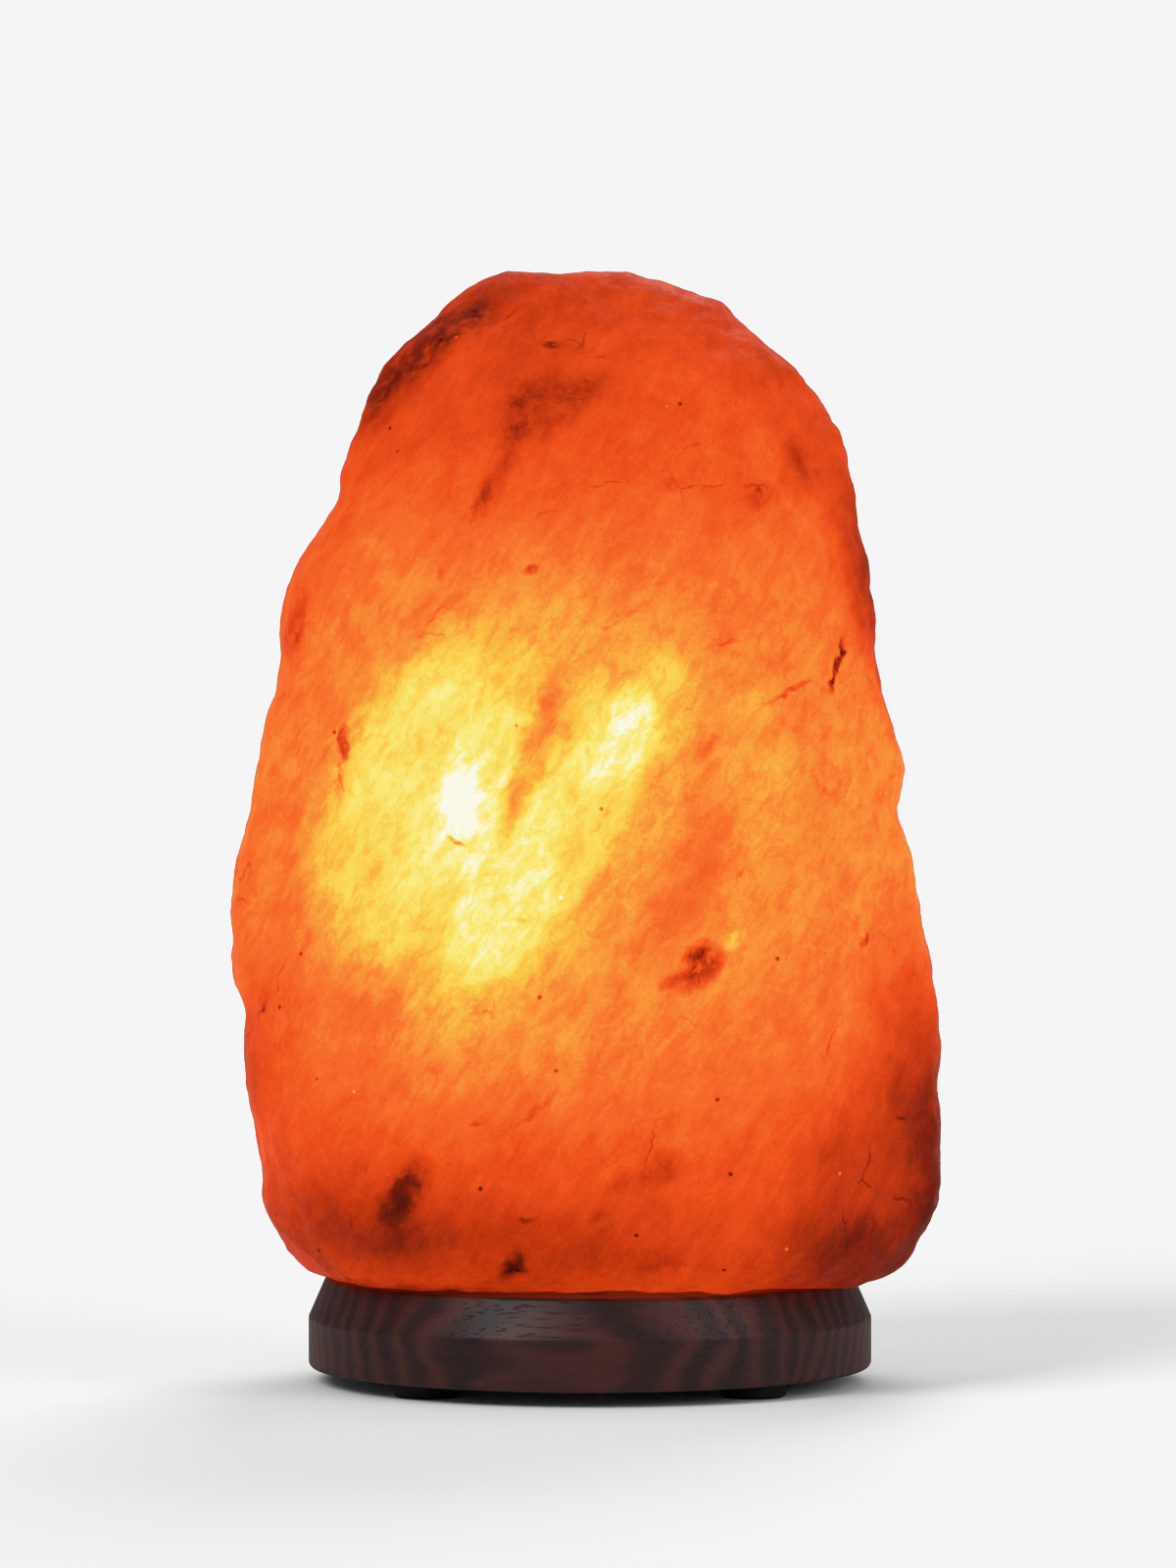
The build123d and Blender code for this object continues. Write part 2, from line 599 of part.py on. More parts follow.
with BuildPart() as holder_cap:
    with BuildSketch(Plane.XZ):
        with BuildLine():
            Polyline(
                (NIPPLE_RADIUS + FIT, PLATE_TOP),
                (HOLDER_RADIUS, PLATE_TOP),
                (HOLDER_RADIUS, CAP_TOP),
                (NECK_RADIUS, CAP_TOP),
                (NECK_RADIUS, NECK_TOP),
                (NECK_RADIUS - NECK_WALL, NECK_TOP),
                (NECK_RADIUS - NECK_WALL, CAP_TOP - CAP_WALL_THICKNESS),
                (HOLDER_RADIUS - CAP_WALL_THICKNESS, CAP_TOP - 2 * CAP_WALL_THICKNESS),
                (HOLDER_RADIUS - CAP_WALL_THICKNESS, PLATE_TOP + CAP_FLOOR_THICKNESS),
                (BOSS_RADIUS, PLATE_TOP + CAP_FLOOR_THICKNESS),
                (BOSS_RADIUS, PLATE_TOP + BOSS_HEIGHT),
                (NIPPLE_RADIUS + FIT, PLATE_TOP + BOSS_HEIGHT),
                close=True,
            )
        make_face()
    revolve(axis=Axis.Z)
    chamfer(
        holder_cap.edges().filter_by(GeomType.CIRCLE).group_by(Axis.Z)[0].sort_by(SortBy.RADIUS)[-1],
        HOLDER_EDGE,
    )
write(holder_cap, "holder_cap")

with BuildPart() as holder_sleeve:
    with BuildSketch(Plane.XZ):
        with BuildLine():
            Polyline(
                (SLEEVE_INNER, SLEEVE_BOTTOM),
                (HOLDER_RADIUS, SLEEVE_BOTTOM),
                (HOLDER_RADIUS, SLEEVE_TOP),
                (SLEEVE_MOUTH_RADIUS, SLEEVE_TOP),
                (SLEEVE_MOUTH_RADIUS, SLEEVE_TOP - SLEEVE_LIP),
                (SLEEVE_INNER, SLEEVE_TOP - SLEEVE_LIP),
                close=True,
            )
        make_face()
    revolve(axis=Axis.Z)
    fillet(
        holder_sleeve.edges().filter_by(GeomType.CIRCLE).group_by(Axis.Z)[-1].sort_by(SortBy.RADIUS)[-1],
        HOLDER_EDGE,
    )
write(holder_sleeve, "holder_sleeve")

with BuildPart() as terminal_block:
    with BuildSketch(Plane.XY.offset(NECK_TOP)):
        Circle(BLOCK_RADIUS)
        with Locations((-CENTRE_RIVET_DISTANCE, 0), (SHELL_RIVET_DISTANCE, 0)):
            Circle(RIVET_RADIUS + FIT, mode=Mode.SUBTRACT)
    extrude(amount=BLOCK_THICKNESS)
write(terminal_block, "terminal_block")

# ---------------------------------------------------------------- holder: terminals and contacts

CLAMP_MIDDLE = (CLAMP_INNER_DISTANCE + CLAMP_OUTER_DISTANCE) / 2

with BuildPart() as terminal_clamps:
    with BuildSketch(Plane.XY.offset(NECK_TOP - CLAMP_HEIGHT)):
        with Locations((-CLAMP_MIDDLE, 0), (CLAMP_MIDDLE, 0)):
            Rectangle(CLAMP_OUTER_DISTANCE - CLAMP_INNER_DISTANCE, CLAMP_WIDTH)
        with PolarLocations(TERMINAL_SCREW_CIRCLE_RADIUS, 2):
            Circle(TERMINAL_SCREW_RADIUS + FIT, mode=Mode.SUBTRACT)
    extrude(amount=CLAMP_HEIGHT)
write(terminal_clamps, "terminal_clamps")

TERMINAL_HEAD_TOP = NECK_TOP - CLAMP_HEIGHT
TERMINAL_HEAD_BOTTOM = TERMINAL_HEAD_TOP - TERMINAL_HEAD_HEIGHT

with BuildPart() as terminal_screws:
    with BuildSketch(Plane.XY.offset(TERMINAL_HEAD_BOTTOM)):
        with PolarLocations(TERMINAL_SCREW_CIRCLE_RADIUS, 2):
            Circle(TERMINAL_HEAD_RADIUS)
    extrude(amount=TERMINAL_HEAD_HEIGHT)
    with BuildSketch(Plane.XY.offset(TERMINAL_HEAD_TOP)):
        with PolarLocations(TERMINAL_SCREW_CIRCLE_RADIUS, 2):
            Circle(TERMINAL_SCREW_RADIUS)
    extrude(amount=CLAMP_HEIGHT - SLOT_DEPTH)
    with BuildSketch(Plane.XY.offset(TERMINAL_HEAD_BOTTOM)):
        with PolarLocations(TERMINAL_SCREW_CIRCLE_RADIUS, 2):
            Rectangle(2 * TERMINAL_HEAD_RADIUS, SLOT_WIDTH)
    extrude(amount=SLOT_DEPTH, mode=Mode.SUBTRACT)
write(terminal_screws, "terminal_screws")

TONGUE_FOOT_DISTANCE = CENTRE_RIVET_DISTANCE + RIVET_HEAD_RADIUS + LOOSE_FIT
TONGUE_BEND_DISTANCE = CENTRE_RIVET_DISTANCE - RIVET_HEAD_RADIUS - LOOSE_FIT
CONTACT_MIDDLE = BLOCK_TOP + CONTACT_THICKNESS / 2

with BuildPart() as centre_contact:
    with BuildSketch(Plane.XZ):
        with BuildLine():
            Polyline(
                (-TONGUE_FOOT_DISTANCE, CONTACT_MIDDLE),
                (-TONGUE_BEND_DISTANCE, CONTACT_MIDDLE),
                (0, CONTACT_MIDDLE + TONGUE_HEIGHT),
                (TIP_RADIUS, CONTACT_MIDDLE + TONGUE_HEIGHT / 2),
            )
        trace(line_width=CONTACT_THICKNESS)
    extrude(amount=CONTACT_WIDTH / 2, both=True)
    with BuildSketch(Plane.XY.offset(BLOCK_TOP)):
        with Locations((-CENTRE_RIVET_DISTANCE, 0)):
            Circle(RIVET_RADIUS + FIT)
    extrude(amount=CONTACT_THICKNESS, mode=Mode.SUBTRACT)
write(centre_contact, "centre_contact")

with BuildPart() as contact_rivets:
    with BuildSketch(Plane.XY.offset(NECK_TOP)):
        with Locations((-CENTRE_RIVET_DISTANCE, 0), (SHELL_RIVET_DISTANCE, 0)):
            Circle(RIVET_RADIUS)
    extrude(amount=BLOCK_THICKNESS + CONTACT_THICKNESS)
    with BuildSketch(Plane.XY.offset(BLOCK_TOP + CONTACT_THICKNESS)):
        with Locations((-CENTRE_RIVET_DISTANCE, 0), (SHELL_RIVET_DISTANCE, 0)):
            Circle(RIVET_HEAD_RADIUS)
    extrude(amount=RIVET_HEAD_HEIGHT)
write(contact_rivets, "contact_rivets")

# ---------------------------------------------------------------- screw threads

# The bulb's and the shell's ridges run half a pitch apart, so neither touches the other.
THREAD_END = THREAD_ROOT_WIDTH / 2 + FIT
BULB_THREAD_START = BULB_CAP_BOTTOM + THREAD_END
SHELL_THREAD_START = BULB_THREAD_START - THREAD_PITCH / 2
BULB_THREAD_TURNS = (SKIRT_BOTTOM - THREAD_END - BULB_THREAD_START) / THREAD_PITCH
SHELL_THREAD_TURNS = (SHELL_TOP - THREAD_END - SHELL_THREAD_START) / THREAD_PITCH


def thread_ridge(root, crest, start, turns, sink):
    """A helical ridge with its root sunk into the wall that carries it."""
    with BuildPart() as ridge:
        with BuildLine() as path:
            Helix(THREAD_PITCH, THREAD_PITCH * turns, root, center=(0, 0, start))
        with BuildSketch(Plane(origin=path.line @ 0, x_dir=(1, 0, 0), z_dir=path.line % 0)):
            with BuildLine():
                Polyline(
                    (sink, -THREAD_ROOT_WIDTH / 2),
                    (crest - root, -THREAD_CREST_WIDTH / 2),
                    (crest - root, THREAD_CREST_WIDTH / 2),
                    (sink, THREAD_ROOT_WIDTH / 2),
                    close=True,
                )
            make_face()
        sweep(path=path.line, is_frenet=True)
    return ridge.part


with BuildPart() as screw_shell:
    add(ring(SHELL_OUTER, SHELL_THREAD_ROOT, BLOCK_TOP, SHELL_TOP))
    add(ring(SHELL_OUTER, SHELL_FLANGE_INNER, BLOCK_TOP, BLOCK_TOP + CONTACT_THICKNESS))
    with BuildSketch(Plane.XY.offset(BLOCK_TOP)):
        with Locations((SHELL_RIVET_DISTANCE, 0)):
            Circle(RIVET_RADIUS + FIT)
    extrude(amount=CONTACT_THICKNESS, mode=Mode.SUBTRACT)
    add(
        thread_ridge(
            SHELL_THREAD_ROOT,
            SHELL_THREAD_CREST,
            SHELL_THREAD_START,
            SHELL_THREAD_TURNS,
            SHELL_WALL / 2,
        )
    )
write(screw_shell, "screw_shell")

# ---------------------------------------------------------------- bulb: cap, insulator, tip

with BuildPart() as bulb_cap:
    with BuildSketch(Plane.XZ):
        with BuildLine():
            Polyline(
                (BULB_THREAD_CORE - CAP_SHEET, BULB_CAP_BOTTOM),
                (BULB_THREAD_CORE, BULB_CAP_BOTTOM),
                (BULB_THREAD_CORE, SKIRT_BOTTOM),
                (CAP_SKIRT_RADIUS, SKIRT_BOTTOM + CAP_FLARE_HEIGHT),
                (CAP_SKIRT_RADIUS, SKIRT_TOP),
                (CAP_SKIRT_RADIUS - CAP_SHEET, SKIRT_TOP),
                (CAP_SKIRT_RADIUS - CAP_SHEET, SKIRT_BOTTOM + CAP_FLARE_HEIGHT + CAP_SHEET / 2),
                (BULB_THREAD_CORE - CAP_SHEET, SKIRT_BOTTOM + CAP_SHEET / 2),
                close=True,
            )
        make_face()
    revolve(axis=Axis.Z)
    add(
        thread_ridge(
            BULB_THREAD_CORE,
            BULB_THREAD_CREST,
            BULB_THREAD_START,
            BULB_THREAD_TURNS,
            -CAP_SHEET / 2,
        )
    )
write(bulb_cap, "bulb_cap")

with BuildPart() as bulb_insulator:
    with BuildSketch(Plane.XZ):
        with BuildLine():
            Polyline(
                (0, INSULATOR_BOTTOM + FIT),
                (INSULATOR_LOWER_RADIUS, INSULATOR_BOTTOM + FIT),
                (BULB_THREAD_CORE - CAP_SHEET - FIT, BULB_CAP_BOTTOM),
                (BULB_THREAD_CORE - CAP_SHEET - FIT, INSULATOR_TOP),
                (0, INSULATOR_TOP),
                close=True,
            )
        make_face()
    revolve(axis=Axis.Z)
write(bulb_insulator, "bulb_insulator")

with BuildPart() as bulb_tip:
    with BuildSketch(Plane.XZ):
        with BuildLine():
            TangentArc((0, TIP_BOTTOM), (TIP_RADIUS, INSULATOR_BOTTOM), tangent=(1, 0))
            Polyline((TIP_RADIUS, INSULATOR_BOTTOM), (0, INSULATOR_BOTTOM), (0, TIP_BOTTOM))
        make_face()
    revolve(axis=Axis.Z)
write(bulb_tip, "bulb_tip")

# ---------------------------------------------------------------- bulb: glass, stem, wires


def candle_shape(inset):
    """The candle-shaped envelope as a solid, inset by a wall."""
    neck = GLASS_NECK_RADIUS - inset
    crown = GLASS_TOP - inset
    with BuildPart() as envelope:
        with BuildSketch(Plane.XZ):
            with BuildLine():
                Polyline((0, crown), (0, GLASS_BOTTOM), (neck, GLASS_BOTTOM), (neck, SKIRT_TOP))
                Spline(
                    (neck, SKIRT_TOP),
                    (BULB_RADIUS - inset, GLASS_BOTTOM + GLASS_HEIGHT * BELLY_SHARE),
                    (0, crown),
                    tangents=((0, 1), (0, 1), (-1, 0.15)),
                    tangent_scalars=(1.0, 1.0, 0.35),
                )
            make_face()
        revolve(axis=Axis.Z)
    return envelope.part


with BuildPart() as bulb_glass:
    add(candle_shape(0))
    add(candle_shape(GLASS_WALL), mode=Mode.SUBTRACT)
write(bulb_glass, "bulb_glass")

with BuildPart() as bulb_stem:
    with BuildSketch(Plane.XZ):
        with BuildLine():
            Polyline(
                (0, GLASS_BOTTOM - EXHAUST_LENGTH),
                (EXHAUST_RADIUS, GLASS_BOTTOM - EXHAUST_LENGTH),
                (EXHAUST_RADIUS, GLASS_BOTTOM),
                (GLASS_NECK_RADIUS - GLASS_WALL - LOOSE_FIT, GLASS_BOTTOM),
                (GLASS_NECK_RADIUS - GLASS_WALL - LOOSE_FIT, GLASS_BOTTOM + GLASS_WALL),
                (STEM_RADIUS, GLASS_BOTTOM + STEM_FLARE_HEIGHT),
                (STEM_RADIUS, STEM_TOP),
                (0, STEM_TOP),
                close=True,
            )
        make_face()
    revolve(axis=Axis.Z)
write(bulb_stem, "bulb_stem")

with BuildPart() as lead_wires:
    for side in (-1, 1):
        with BuildLine() as lead_path:
            FilletPolyline(
                (side * LEAD_FOOT_DISTANCE, 0, STEM_TOP),
                (side * LEAD_FOOT_DISTANCE, 0, STEM_TOP + FILAMENT_STANDOFF_HEIGHT / 4),
                (side * LEAD_SPREAD_DISTANCE, 0, FILAMENT_LEVEL - FILAMENT_STANDOFF_HEIGHT / 4),
                (side * LEAD_SPREAD_DISTANCE, 0, FILAMENT_LEVEL - FILAMENT_COIL_RADIUS - 2 * LEAD_RADIUS),
                radius=2 * LEAD_RADIUS,
            )
        with BuildSketch(Plane(origin=lead_path.line @ 0, z_dir=lead_path.line % 0)):
            Circle(LEAD_RADIUS)
        sweep(path=lead_path.line)
write(lead_wires, "lead_wires")

with BuildPart() as support_wire:
    with BuildSketch(Plane.XY.offset(STEM_TOP)):
        Circle(SUPPORT_RADIUS)
    extrude(amount=FILAMENT_STANDOFF_HEIGHT - FILAMENT_COIL_RADIUS - 2 * FILAMENT_WIRE_RADIUS)
write(support_wire, "support_wire")

with BuildPart() as filament:
    with BuildLine() as coil:
        Helix(
            FILAMENT_PITCH,
            2 * LEAD_SPREAD_DISTANCE,
            FILAMENT_COIL_RADIUS,
            center=(-LEAD_SPREAD_DISTANCE, 0, FILAMENT_LEVEL),
            direction=(1, 0, 0),
        )
    with BuildSketch(Plane(origin=coil.line @ 0, z_dir=coil.line % 0)):
        Circle(FILAMENT_WIRE_RADIUS)
    sweep(path=coil.line, is_frenet=True)
write(filament, "filament")

# ---------------------------------------------------------------- clip arms and their brackets


with BuildPart() as clip_brackets:
    with BuildSketch(Plane.XY.offset(PLATE_TOP)):
        with Locations(((BRACKET_OUTER_DISTANCE + BRACKET_INNER_DISTANCE) / 2, 0)):
            Rectangle(BRACKET_OUTER_DISTANCE - BRACKET_INNER_DISTANCE, BRACKET_WIDTH)
        with Locations((BRACKET_RIVET_DISTANCE, 0)):
            Circle(RIVET_RADIUS + FIT, mode=Mode.SUBTRACT)
    extrude(amount=CLIP_SHEET)
    # An ear each side of the arm carries the pin.
    for hand in (-1, 1):
        with BuildSketch(Plane.XZ.offset(hand * (EAR_INNER_DISTANCE + CLIP_SHEET / 2))):
            with Locations((CLIP_PIN_DISTANCE, PLATE_TOP)):
                Rectangle(
                    2 * EAR_HALF_LENGTH,
                    CLIP_PIN_LEVEL - PLATE_TOP,
                    align=(Align.CENTER, Align.MIN),
                )
            with Locations((CLIP_PIN_DISTANCE, CLIP_PIN_LEVEL)):
                Circle(EAR_HALF_LENGTH)
                Circle(CLIP_PIN_RADIUS + FIT, mode=Mode.SUBTRACT)
        extrude(amount=CLIP_SHEET / 2, both=True)
    mirror(about=Plane.YZ)
write(clip_brackets, "clip_brackets")

with BuildPart() as clip_pins:
    with BuildSketch(Plane.XZ):
        with Locations((-CLIP_PIN_DISTANCE, CLIP_PIN_LEVEL), (CLIP_PIN_DISTANCE, CLIP_PIN_LEVEL)):
            Circle(CLIP_PIN_RADIUS)
    extrude(amount=EAR_INNER_DISTANCE + 2 * CLIP_SHEET, both=True)
write(clip_pins, "clip_pins")

with BuildPart() as clip_rivets:
    with BuildSketch(Plane.XY.offset(PLATE_BOTTOM)):
        with Locations((-BRACKET_RIVET_DISTANCE, 0), (BRACKET_RIVET_DISTANCE, 0)):
            Circle(RIVET_RADIUS)
    extrude(amount=PLATE_THICKNESS + CLIP_SHEET)
    for level in (PLATE_BOTTOM - RIVET_HEAD_HEIGHT, PLATE_TOP + CLIP_SHEET):
        with BuildSketch(Plane.XY.offset(level)):
            with Locations((-BRACKET_RIVET_DISTANCE, 0), (BRACKET_RIVET_DISTANCE, 0)):
                Circle(RIVET_HEAD_RADIUS)
        extrude(amount=RIVET_HEAD_HEIGHT)
write(clip_rivets, "clip_rivets")

SPRING_START = CLIP_EYE_WIDTH / 2 + 2 * CLIP_SPRING_WIRE

with BuildPart() as clip_springs:
    for side in (-1, 1):
        with BuildLine() as spring_path:
            Helix(
                CLIP_SPRING_PITCH,
                CLIP_SPRING_PITCH * CLIP_SPRING_TURNS,
                CLIP_SPRING_RADIUS,
                center=(side * CLIP_PIN_DISTANCE, SPRING_START, CLIP_PIN_LEVEL),
                direction=(0, 1, 0),
            )
        with BuildSketch(Plane(origin=spring_path.line @ 0, z_dir=spring_path.line % 0)):
            Circle(CLIP_SPRING_WIRE)
        sweep(path=spring_path.line, is_frenet=True)
write(clip_springs, "clip_springs")

ARM_ROOT_DISTANCE = CLIP_PIN_DISTANCE + CLIP_EYE_RADIUS - CLIP_SHEET / 2
ARM_TIP_LEVEL = CLIP_PIN_LEVEL + CLIP_ARM_HEIGHT

for side, name in ((-1, "clip_arm_left"), (1, "clip_arm_right")):
    with BuildPart() as clip_arm:
        # Leaf: out from the eye to the knee that bears on the hole, in again to a curled tip
        with BuildSketch(Plane.XZ):
            with BuildLine():
                FilletPolyline(
                    (side * ARM_ROOT_DISTANCE, CLIP_PIN_LEVEL),
                    (side * CLIP_KNEE_DISTANCE, CLIP_PIN_LEVEL + CLIP_KNEE_HEIGHT),
                    (side * CLIP_TIP_DISTANCE, ARM_TIP_LEVEL),
                    (side * (CLIP_TIP_DISTANCE + CLIP_CURL_LENGTH), ARM_TIP_LEVEL + CLIP_CURL_LENGTH),
                    radius=2 * CLIP_SHEET,
                )
            trace(line_width=CLIP_SHEET)
        extrude(amount=CLIP_WIDTH / 2, both=True)
        # The leaf is narrow beside the spring, up to where it clears the bracket's ears.
        for hand in (-1, 1):
            with BuildSketch(Plane.XY.offset(CLIP_PIN_LEVEL - CLIP_EYE_RADIUS)):
                with Locations((side * CLIP_PIN_DISTANCE, hand * (CLIP_EYE_WIDTH / 2 + CLIP_WIDTH))):
                    Rectangle(4 * CLIP_EYE_RADIUS, 2 * CLIP_WIDTH)
            extrude(amount=2 * CLIP_EYE_RADIUS + CLIP_SHEET, mode=Mode.SUBTRACT)
        with BuildSketch(Plane.XZ):
            with Locations((side * CLIP_PIN_DISTANCE, CLIP_PIN_LEVEL)):
                Circle(CLIP_EYE_RADIUS)
        extrude(amount=CLIP_EYE_WIDTH / 2, both=True)
        with BuildSketch(Plane.XZ):
            with Locations((side * CLIP_PIN_DISTANCE, CLIP_PIN_LEVEL)):
                Circle(CLIP_PIN_RADIUS + FIT)
        extrude(amount=CLIP_WIDTH, both=True, mode=Mode.SUBTRACT)
    write(clip_arm, name)
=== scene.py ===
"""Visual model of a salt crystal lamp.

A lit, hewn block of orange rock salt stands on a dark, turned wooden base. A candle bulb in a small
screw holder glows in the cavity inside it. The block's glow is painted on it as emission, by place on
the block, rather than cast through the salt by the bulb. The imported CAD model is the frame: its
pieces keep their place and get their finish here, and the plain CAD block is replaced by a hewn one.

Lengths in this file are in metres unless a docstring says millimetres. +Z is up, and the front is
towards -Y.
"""

from __future__ import annotations

import logging
import math
from collections.abc import Callable
from dataclasses import dataclass, field
from enum import Enum

import bpy
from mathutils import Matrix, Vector


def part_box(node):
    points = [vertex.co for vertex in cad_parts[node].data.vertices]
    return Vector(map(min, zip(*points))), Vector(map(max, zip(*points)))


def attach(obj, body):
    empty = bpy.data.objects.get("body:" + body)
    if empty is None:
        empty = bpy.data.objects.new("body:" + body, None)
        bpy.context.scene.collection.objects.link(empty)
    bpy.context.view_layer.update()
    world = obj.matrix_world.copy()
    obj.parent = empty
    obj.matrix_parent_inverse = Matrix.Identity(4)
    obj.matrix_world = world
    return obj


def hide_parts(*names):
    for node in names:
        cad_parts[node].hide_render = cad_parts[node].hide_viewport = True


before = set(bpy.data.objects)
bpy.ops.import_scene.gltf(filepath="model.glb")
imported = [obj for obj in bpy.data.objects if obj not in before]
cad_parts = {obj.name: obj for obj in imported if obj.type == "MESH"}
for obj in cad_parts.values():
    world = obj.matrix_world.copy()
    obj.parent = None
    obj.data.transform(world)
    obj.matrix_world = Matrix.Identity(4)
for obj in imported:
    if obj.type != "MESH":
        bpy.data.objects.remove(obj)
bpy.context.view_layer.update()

log = logging.getLogger("salt_lamp")

MILLIMETRE = 0.001

Colour = tuple[float, float, float]
Triple = tuple[float, float, float]
Socket = bpy.types.NodeSocket


# ---------------------------------------------------------------- helpers


def linear(red: int, green: int, blue: int) -> Colour:
    """Turns an 8-bit display colour into the linear colour that shaders use.

    Args:
        red: The red share, 0 to 255.
        green: The green share, 0 to 255.
        blue: The blue share, 0 to 255.

    Returns:
        The linear colour.
    """
    shares = []
    for value in (red, green, blue):
        share = value / 255
        shares.append(share / 12.92 if share <= 0.04045 else ((share + 0.055) / 1.055) ** 2.4)
    return tuple(shares)


def start_piece(name: str) -> bpy.types.Object:
    """Names the mesh that a primitive operator has just made.

    Args:
        name: The piece's name.

    Returns:
        The new object.
    """
    piece = bpy.context.object
    piece.name = name
    piece.data.name = name
    return piece


def clear_selection() -> None:
    """Deselects every object, so that an operator acts only on what is made or chosen next."""
    bpy.ops.object.select_all(action="DESELECT")


def choose_only(piece: bpy.types.Object) -> None:
    """Selects one object and makes it the active one.

    Args:
        piece: The object to work on.
    """
    clear_selection()
    piece.select_set(True)
    bpy.context.view_layer.objects.active = piece


def apply_modifier(piece: bpy.types.Object, kind: str, **settings: object) -> None:
    """Adds a modifier to a piece and applies it at once.

    Args:
        piece: The piece to change.
        kind: The modifier's type, such as "REMESH".
        **settings: The modifier's own settings.
    """
    choose_only(piece)
    modifier = piece.modifiers.new(kind.lower(), kind)
    for key, value in settings.items():
        setattr(modifier, key, value)
    bpy.ops.object.modifier_apply(modifier=modifier.name)


# ---------------------------------------------------------------- shader building


@dataclass(frozen=True)
class Cloud:
    """Cloudy noise: the size of one cloud, its finer layers, their strength, and its swirl."""

    grain: float
    detail: float = 3.0
    roughness: float = 0.55
    swirl: float = 0.0


@dataclass(frozen=True)
class Span:
    """A range of values, and what its start and its end become."""

    start: float
    end: float
    low: float = 0.0
    high: float = 1.0


@dataclass(frozen=True)
class Mottle:
    """Cloudy noise with its values spread over a span."""

    cloud: Cloud
    span: Span


class Shader:
    """A node material that reads Object coordinates, with one method for each kind of pattern."""

    def __init__(self, name: str) -> None:
        """Makes an empty material with a Principled surface.

        Args:
            name: The material's name.
        """
        self.material = bpy.data.materials.new(name)
        self.material.use_nodes = True
        self.tree = self.material.node_tree
        self.tree.nodes.clear()
        output = self.node("ShaderNodeOutputMaterial")
        self.surface = self.node("ShaderNodeBsdfPrincipled")
        self.join(self.surface.outputs["BSDF"], output.inputs["Surface"])
        self.place = self.node("ShaderNodeTexCoord").outputs["Object"]

    def node(self, kind: str, **settings: object) -> bpy.types.Node:
        """Adds a node and sets its own settings.

        Args:
            kind: The node's type name.
            **settings: The node's settings.

        Returns:
            The new node.
        """
        made = self.tree.nodes.new(kind)
        for key, value in settings.items():
            setattr(made, key, value)
        return made

    def join(self, source: Socket, target: Socket) -> None:
        """Links two sockets.

        Args:
            source: The output to read.
            target: The input that reads it.
        """
        self.tree.links.new(source, target)

    def feed(self, target: Socket, value: Socket | float) -> None:
        """Gives an input either a link or a constant.

        Args:
            target: The input.
            value: An output to link, or a number to set.
        """
        if isinstance(value, Socket):
            self.join(value, target)
        else:
            target.default_value = value

    def paint(self, **patterns: Socket) -> None:
        """Links patterns to the Principled surface's own sockets.

        Args:
            **patterns: Socket names, with underscores for spaces, and the outputs to link.
        """
        for key, pattern in patterns.items():
            self.join(pattern, self.surface.inputs[key.replace("_", " ")])

    def constant(self, **values: float) -> None:
        """Sets numbers on the Principled surface's own sockets.

        Args:
            **values: Socket names, with underscores for spaces, and their values.
        """
        for key, value in values.items():
            self.surface.inputs[key.replace("_", " ")].default_value = value

    def mapped(self, rotation: Triple = (0, 0, 0), scale: Triple = (1, 1, 1)) -> Socket:
        """Object coordinates, turned and then scaled.

        Args:
            rotation: Turn about each axis, in radians.
            scale: Factor along each axis.

        Returns:
            The vector output.
        """
        turned = self.node("ShaderNodeMapping", vector_type="POINT")
        turned.inputs["Rotation"].default_value = rotation
        self.join(self.place, turned.inputs["Vector"])
        scaled = self.node("ShaderNodeMapping", vector_type="POINT")
        scaled.inputs["Scale"].default_value = scale
        self.join(turned.outputs["Vector"], scaled.inputs["Vector"])
        return scaled.outputs["Vector"]

    def noise(self, cloud: Cloud, vector: Socket | None = None, output: str = "Fac") -> Socket:
        """Cloudy noise.

        Args:
            cloud: Its size and layers, in the vector's units.
            vector: Where it is read; Object coordinates if left out.
            output: The output to return, "Fac" or "Color".

        Returns:
            The noise output.
        """
        made = self.node("ShaderNodeTexNoise")
        made.inputs["Scale"].default_value = 1 / cloud.grain
        made.inputs["Detail"].default_value = cloud.detail
        made.inputs["Roughness"].default_value = cloud.roughness
        made.inputs["Distortion"].default_value = cloud.swirl
        self.join(vector or self.place, made.inputs["Vector"])
        return made.outputs[output]

    def mottle(self, mottle: Mottle, vector: Socket | None = None) -> Socket:
        """Cloudy noise with its values spread.

        Args:
            mottle: The noise and the span.
            vector: Where it is read; Object coordinates if left out.

        Returns:
            The pattern.
        """
        return self.reach(self.noise(mottle.cloud, vector), mottle.span)

    def cells(self, grain: float, vector: Socket | None = None, feature: str = "F1") -> Socket:
        """Distance to the nearest of many scattered points, or to the walls between them.

        Args:
            grain: The usual distance between points.
            vector: Where it is read; Object coordinates if left out.
            feature: "F1" for the points, "DISTANCE_TO_EDGE" for the walls.

        Returns:
            The distance output, in cell sizes.
        """
        made = self.node("ShaderNodeTexVoronoi", feature=feature)
        made.inputs["Scale"].default_value = 1 / grain
        self.join(vector or self.place, made.inputs["Vector"])
        return made.outputs["Distance"]

    def maths(self, operation: str, *values: Socket | float, clamp: bool = False) -> Socket:
        """One arithmetic step.

        Args:
            operation: The operation's name, such as "MULTIPLY".
            *values: Its operands.
            clamp: Whether the result is kept between 0 and 1.

        Returns:
            The result.
        """
        made = self.node("ShaderNodeMath", operation=operation, use_clamp=clamp)
        for target, value in zip(made.inputs, values):
            self.feed(target, value)
        return made.outputs["Value"]

